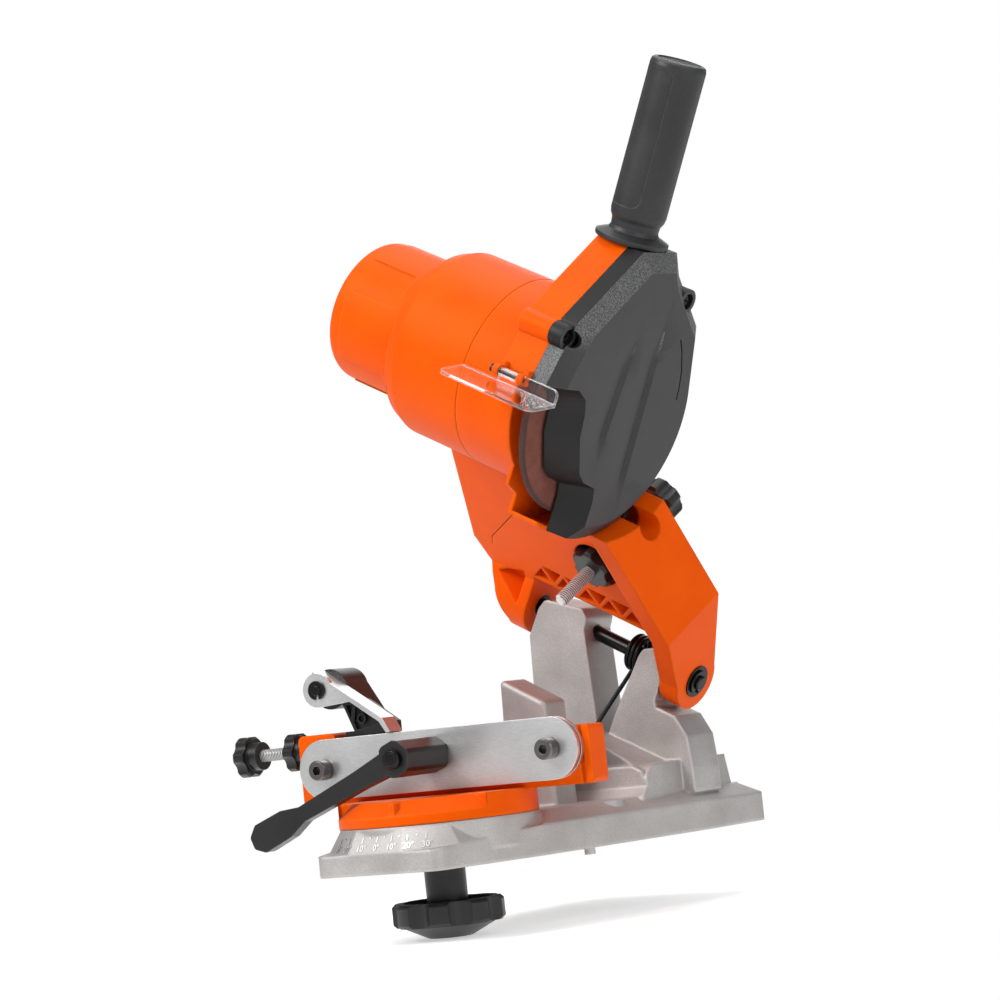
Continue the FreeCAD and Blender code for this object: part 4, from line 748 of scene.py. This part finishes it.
# ------------------------------------------------------------------ side handle
# A soft black grip moulded on a steel stud, which screws into the top of the housing. A plain
# collar keeps the hand off the guard.
grip_rubber = finish("grip_rubber", (0.020, 0.020, 0.021), (0.038, 0.038, 0.040),
                     (0.075, 0.075, 0.077), (0.40, 0.50), edge_radius=0.0009,
                     grain_size=0.0008, grain_depth=0.00005, **{"Specular IOR Level": 0.4})
dress(grip_rubber, "handle_grip")

# ------------------------------------------------------------------ motor
# Enamelled copper windings in a stack of iron stampings, with a cast cage rotor between
# bearings. The depth screw's nut, pressed into the arm, is bronze.
bronze = finish("bronze", (0.55, 0.36, 0.16), (0.66, 0.46, 0.24), (0.75, 0.56, 0.32),
                (0.30, 0.40), metal=1.0)
dress(bronze, "depth_nut_insert")
copper = finish("enamelled_copper", (0.42, 0.15, 0.05), (0.60, 0.24, 0.09),
                (0.68, 0.32, 0.14), (0.28, 0.38), metal=0.9, grain_size=0.0012,
                grain_depth=0.0002, stretch=(0.15, 1.0, 1.0))
dress(copper, "stator_windings")
iron = finish("laminated_iron", (0.16, 0.16, 0.17), (0.26, 0.26, 0.27), (0.35, 0.35, 0.35),
              (0.4, 0.5), metal=1.0, grain_size=0.0005, grain_depth=0.00008,
              stretch=(1.0, 0.05, 0.05))
dress(iron, "stator_core", "rotor_core")

# ------------------------------------------------------------------ depth screw
# Zinc-plated studding with a coarse thread, screwed through the arm. Its tip meets the anvil on
# the base, which sets how deep the wheel grinds.
DEPTH_RADIUS, DEPTH_PITCH, DEPTH_LENGTH = 0.0045, 0.0015, 0.1128
DEPTH_START = (-0.004, -0.0398, 0.077)
depth_thread = piece("depth_screw_thread", studding(DEPTH_RADIUS, DEPTH_PITCH, DEPTH_LENGTH),
                     [thread_steel, thread_painted_shade], "depth_screw",
                     ARM_PLACE @ Matrix.Translation(DEPTH_START)
                     @ Matrix.Rotation(math.radians(-90), 4, "X"))
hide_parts("depth_screw_rod")

# ------------------------------------------------------------------ eye shield
# A clear polycarbonate shelf over the wheel, moulded with an upstand and a thin sleeve that
# turns on the hinge pin. Its cut edges are painted white and made to glow, a painted highlight.
SHELF_LOW, SHELF_HIGH = (-0.044, -0.113, 0.0034), (0.030, -0.088, 0.0056)
SHELF_FRONT = -0.113
SHELF_ROUNDING = 0.006
SHELF_RISE = 0.15
UPSTAND_LOW, UPSTAND_HIGH = (-0.0149, -0.0902, 0.0094), (0.0300, -0.0880, 0.0178)
UPSTAND_ROUNDING = 0.0035
HINGE = (-0.089, 0.015)
SLEEVE_START, SLEEVE_END = -0.0149, -0.0011
SLEEVE_BORE, SLEEVE_RADIUS = 0.0017, 0.0026
clear = finish("clear_plastic", (0.93, 0.95, 0.96), (0.97, 0.98, 0.99), (1.0, 1.0, 1.0),
               (0.03, 0.08), edge_radius=0.0009, grain_size=0.004, grain_depth=0.000002,
               **{"IOR": 1.45, "Transmission Weight": 1.0, "Emission Strength": 0.35})
# The edge mask drives the glow, so the cut edges shine as a painted highlight.
tree = clear.node_tree
tree.links.new(tree.nodes["feel"].outputs["Edge"],
               tree.nodes["Principled BSDF"].inputs["Emission Color"])
clear_sleeve = finish("clear_sleeve", (0.93, 0.95, 0.96), (0.97, 0.98, 0.99),
                      (1.0, 1.0, 1.0), (0.10, 0.20), edge_radius=0.0001, grain_size=0.004,
                      grain_depth=0.000002, **{"IOR": 1.15, "Transmission Weight": 1.0})


def slab(form, low, high, radius, rounded):
    """Adds a block between two corners, with those of its edges rounded that the test picks."""
    size = Vector(high) - Vector(low)
    middle = (Vector(high) + Vector(low)) / 2
    block = bmesh.ops.create_cube(form, size=1.0, matrix=Matrix.Translation(middle)
                                  @ Matrix.Diagonal((*size, 1)))["verts"]
    lines = {line for point in block for line in point.link_edges}
    before = set(form.verts) - set(block)
    bmesh.ops.bevel(form, geom=[line for line in lines if rounded(*line.verts)], offset=radius,
                    segments=5, affect="EDGES", profile=0.5, material=-1)
    return set(form.verts) - before


def same_x(first, second):
    """True for two points on one edge that doesn't run along X."""
    return abs(first.co.x - second.co.x) < 0.0001


shield = bmesh.new()
shelf = slab(shield, SHELF_LOW, SHELF_HIGH, SHELF_ROUNDING,
             lambda a, b: max(a.co.y, b.co.y) < SHELF_FRONT + 0.001 and same_x(a, b))
for point in shelf:
    point.co.z += SHELF_RISE * (point.co.y - SHELF_FRONT)
slab(shield, UPSTAND_LOW, UPSTAND_HIGH, UPSTAND_ROUNDING,
     lambda a, b: min(a.co.z, b.co.z) > UPSTAND_HIGH[2] - 0.0008 and same_x(a, b))
corners = [(SLEEVE_START, SLEEVE_BORE), (SLEEVE_END, SLEEVE_BORE),
           (SLEEVE_END, SLEEVE_RADIUS), (SLEEVE_START, SLEEVE_RADIUS)]
profile = [shield.verts.new((x, HINGE[0], HINGE[1] + reach)) for x, reach in corners]
outline = [shield.edges.new(pair) for pair in zip(profile, profile[1:] + profile[:1])]
before = set(shield.faces)
bmesh.ops.spin(shield, geom=profile + outline, cent=(0, *HINGE), axis=(1, 0, 0),
               dvec=(0, 0, 0), angle=math.tau, steps=20, use_merge=True)
for face in set(shield.faces) - before:
    face.material_index = 1
clear_shield = piece("clear_shield", shield, [clear, clear_sleeve], "eye_shield", WHEEL_PLACE)
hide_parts("eye_shield")
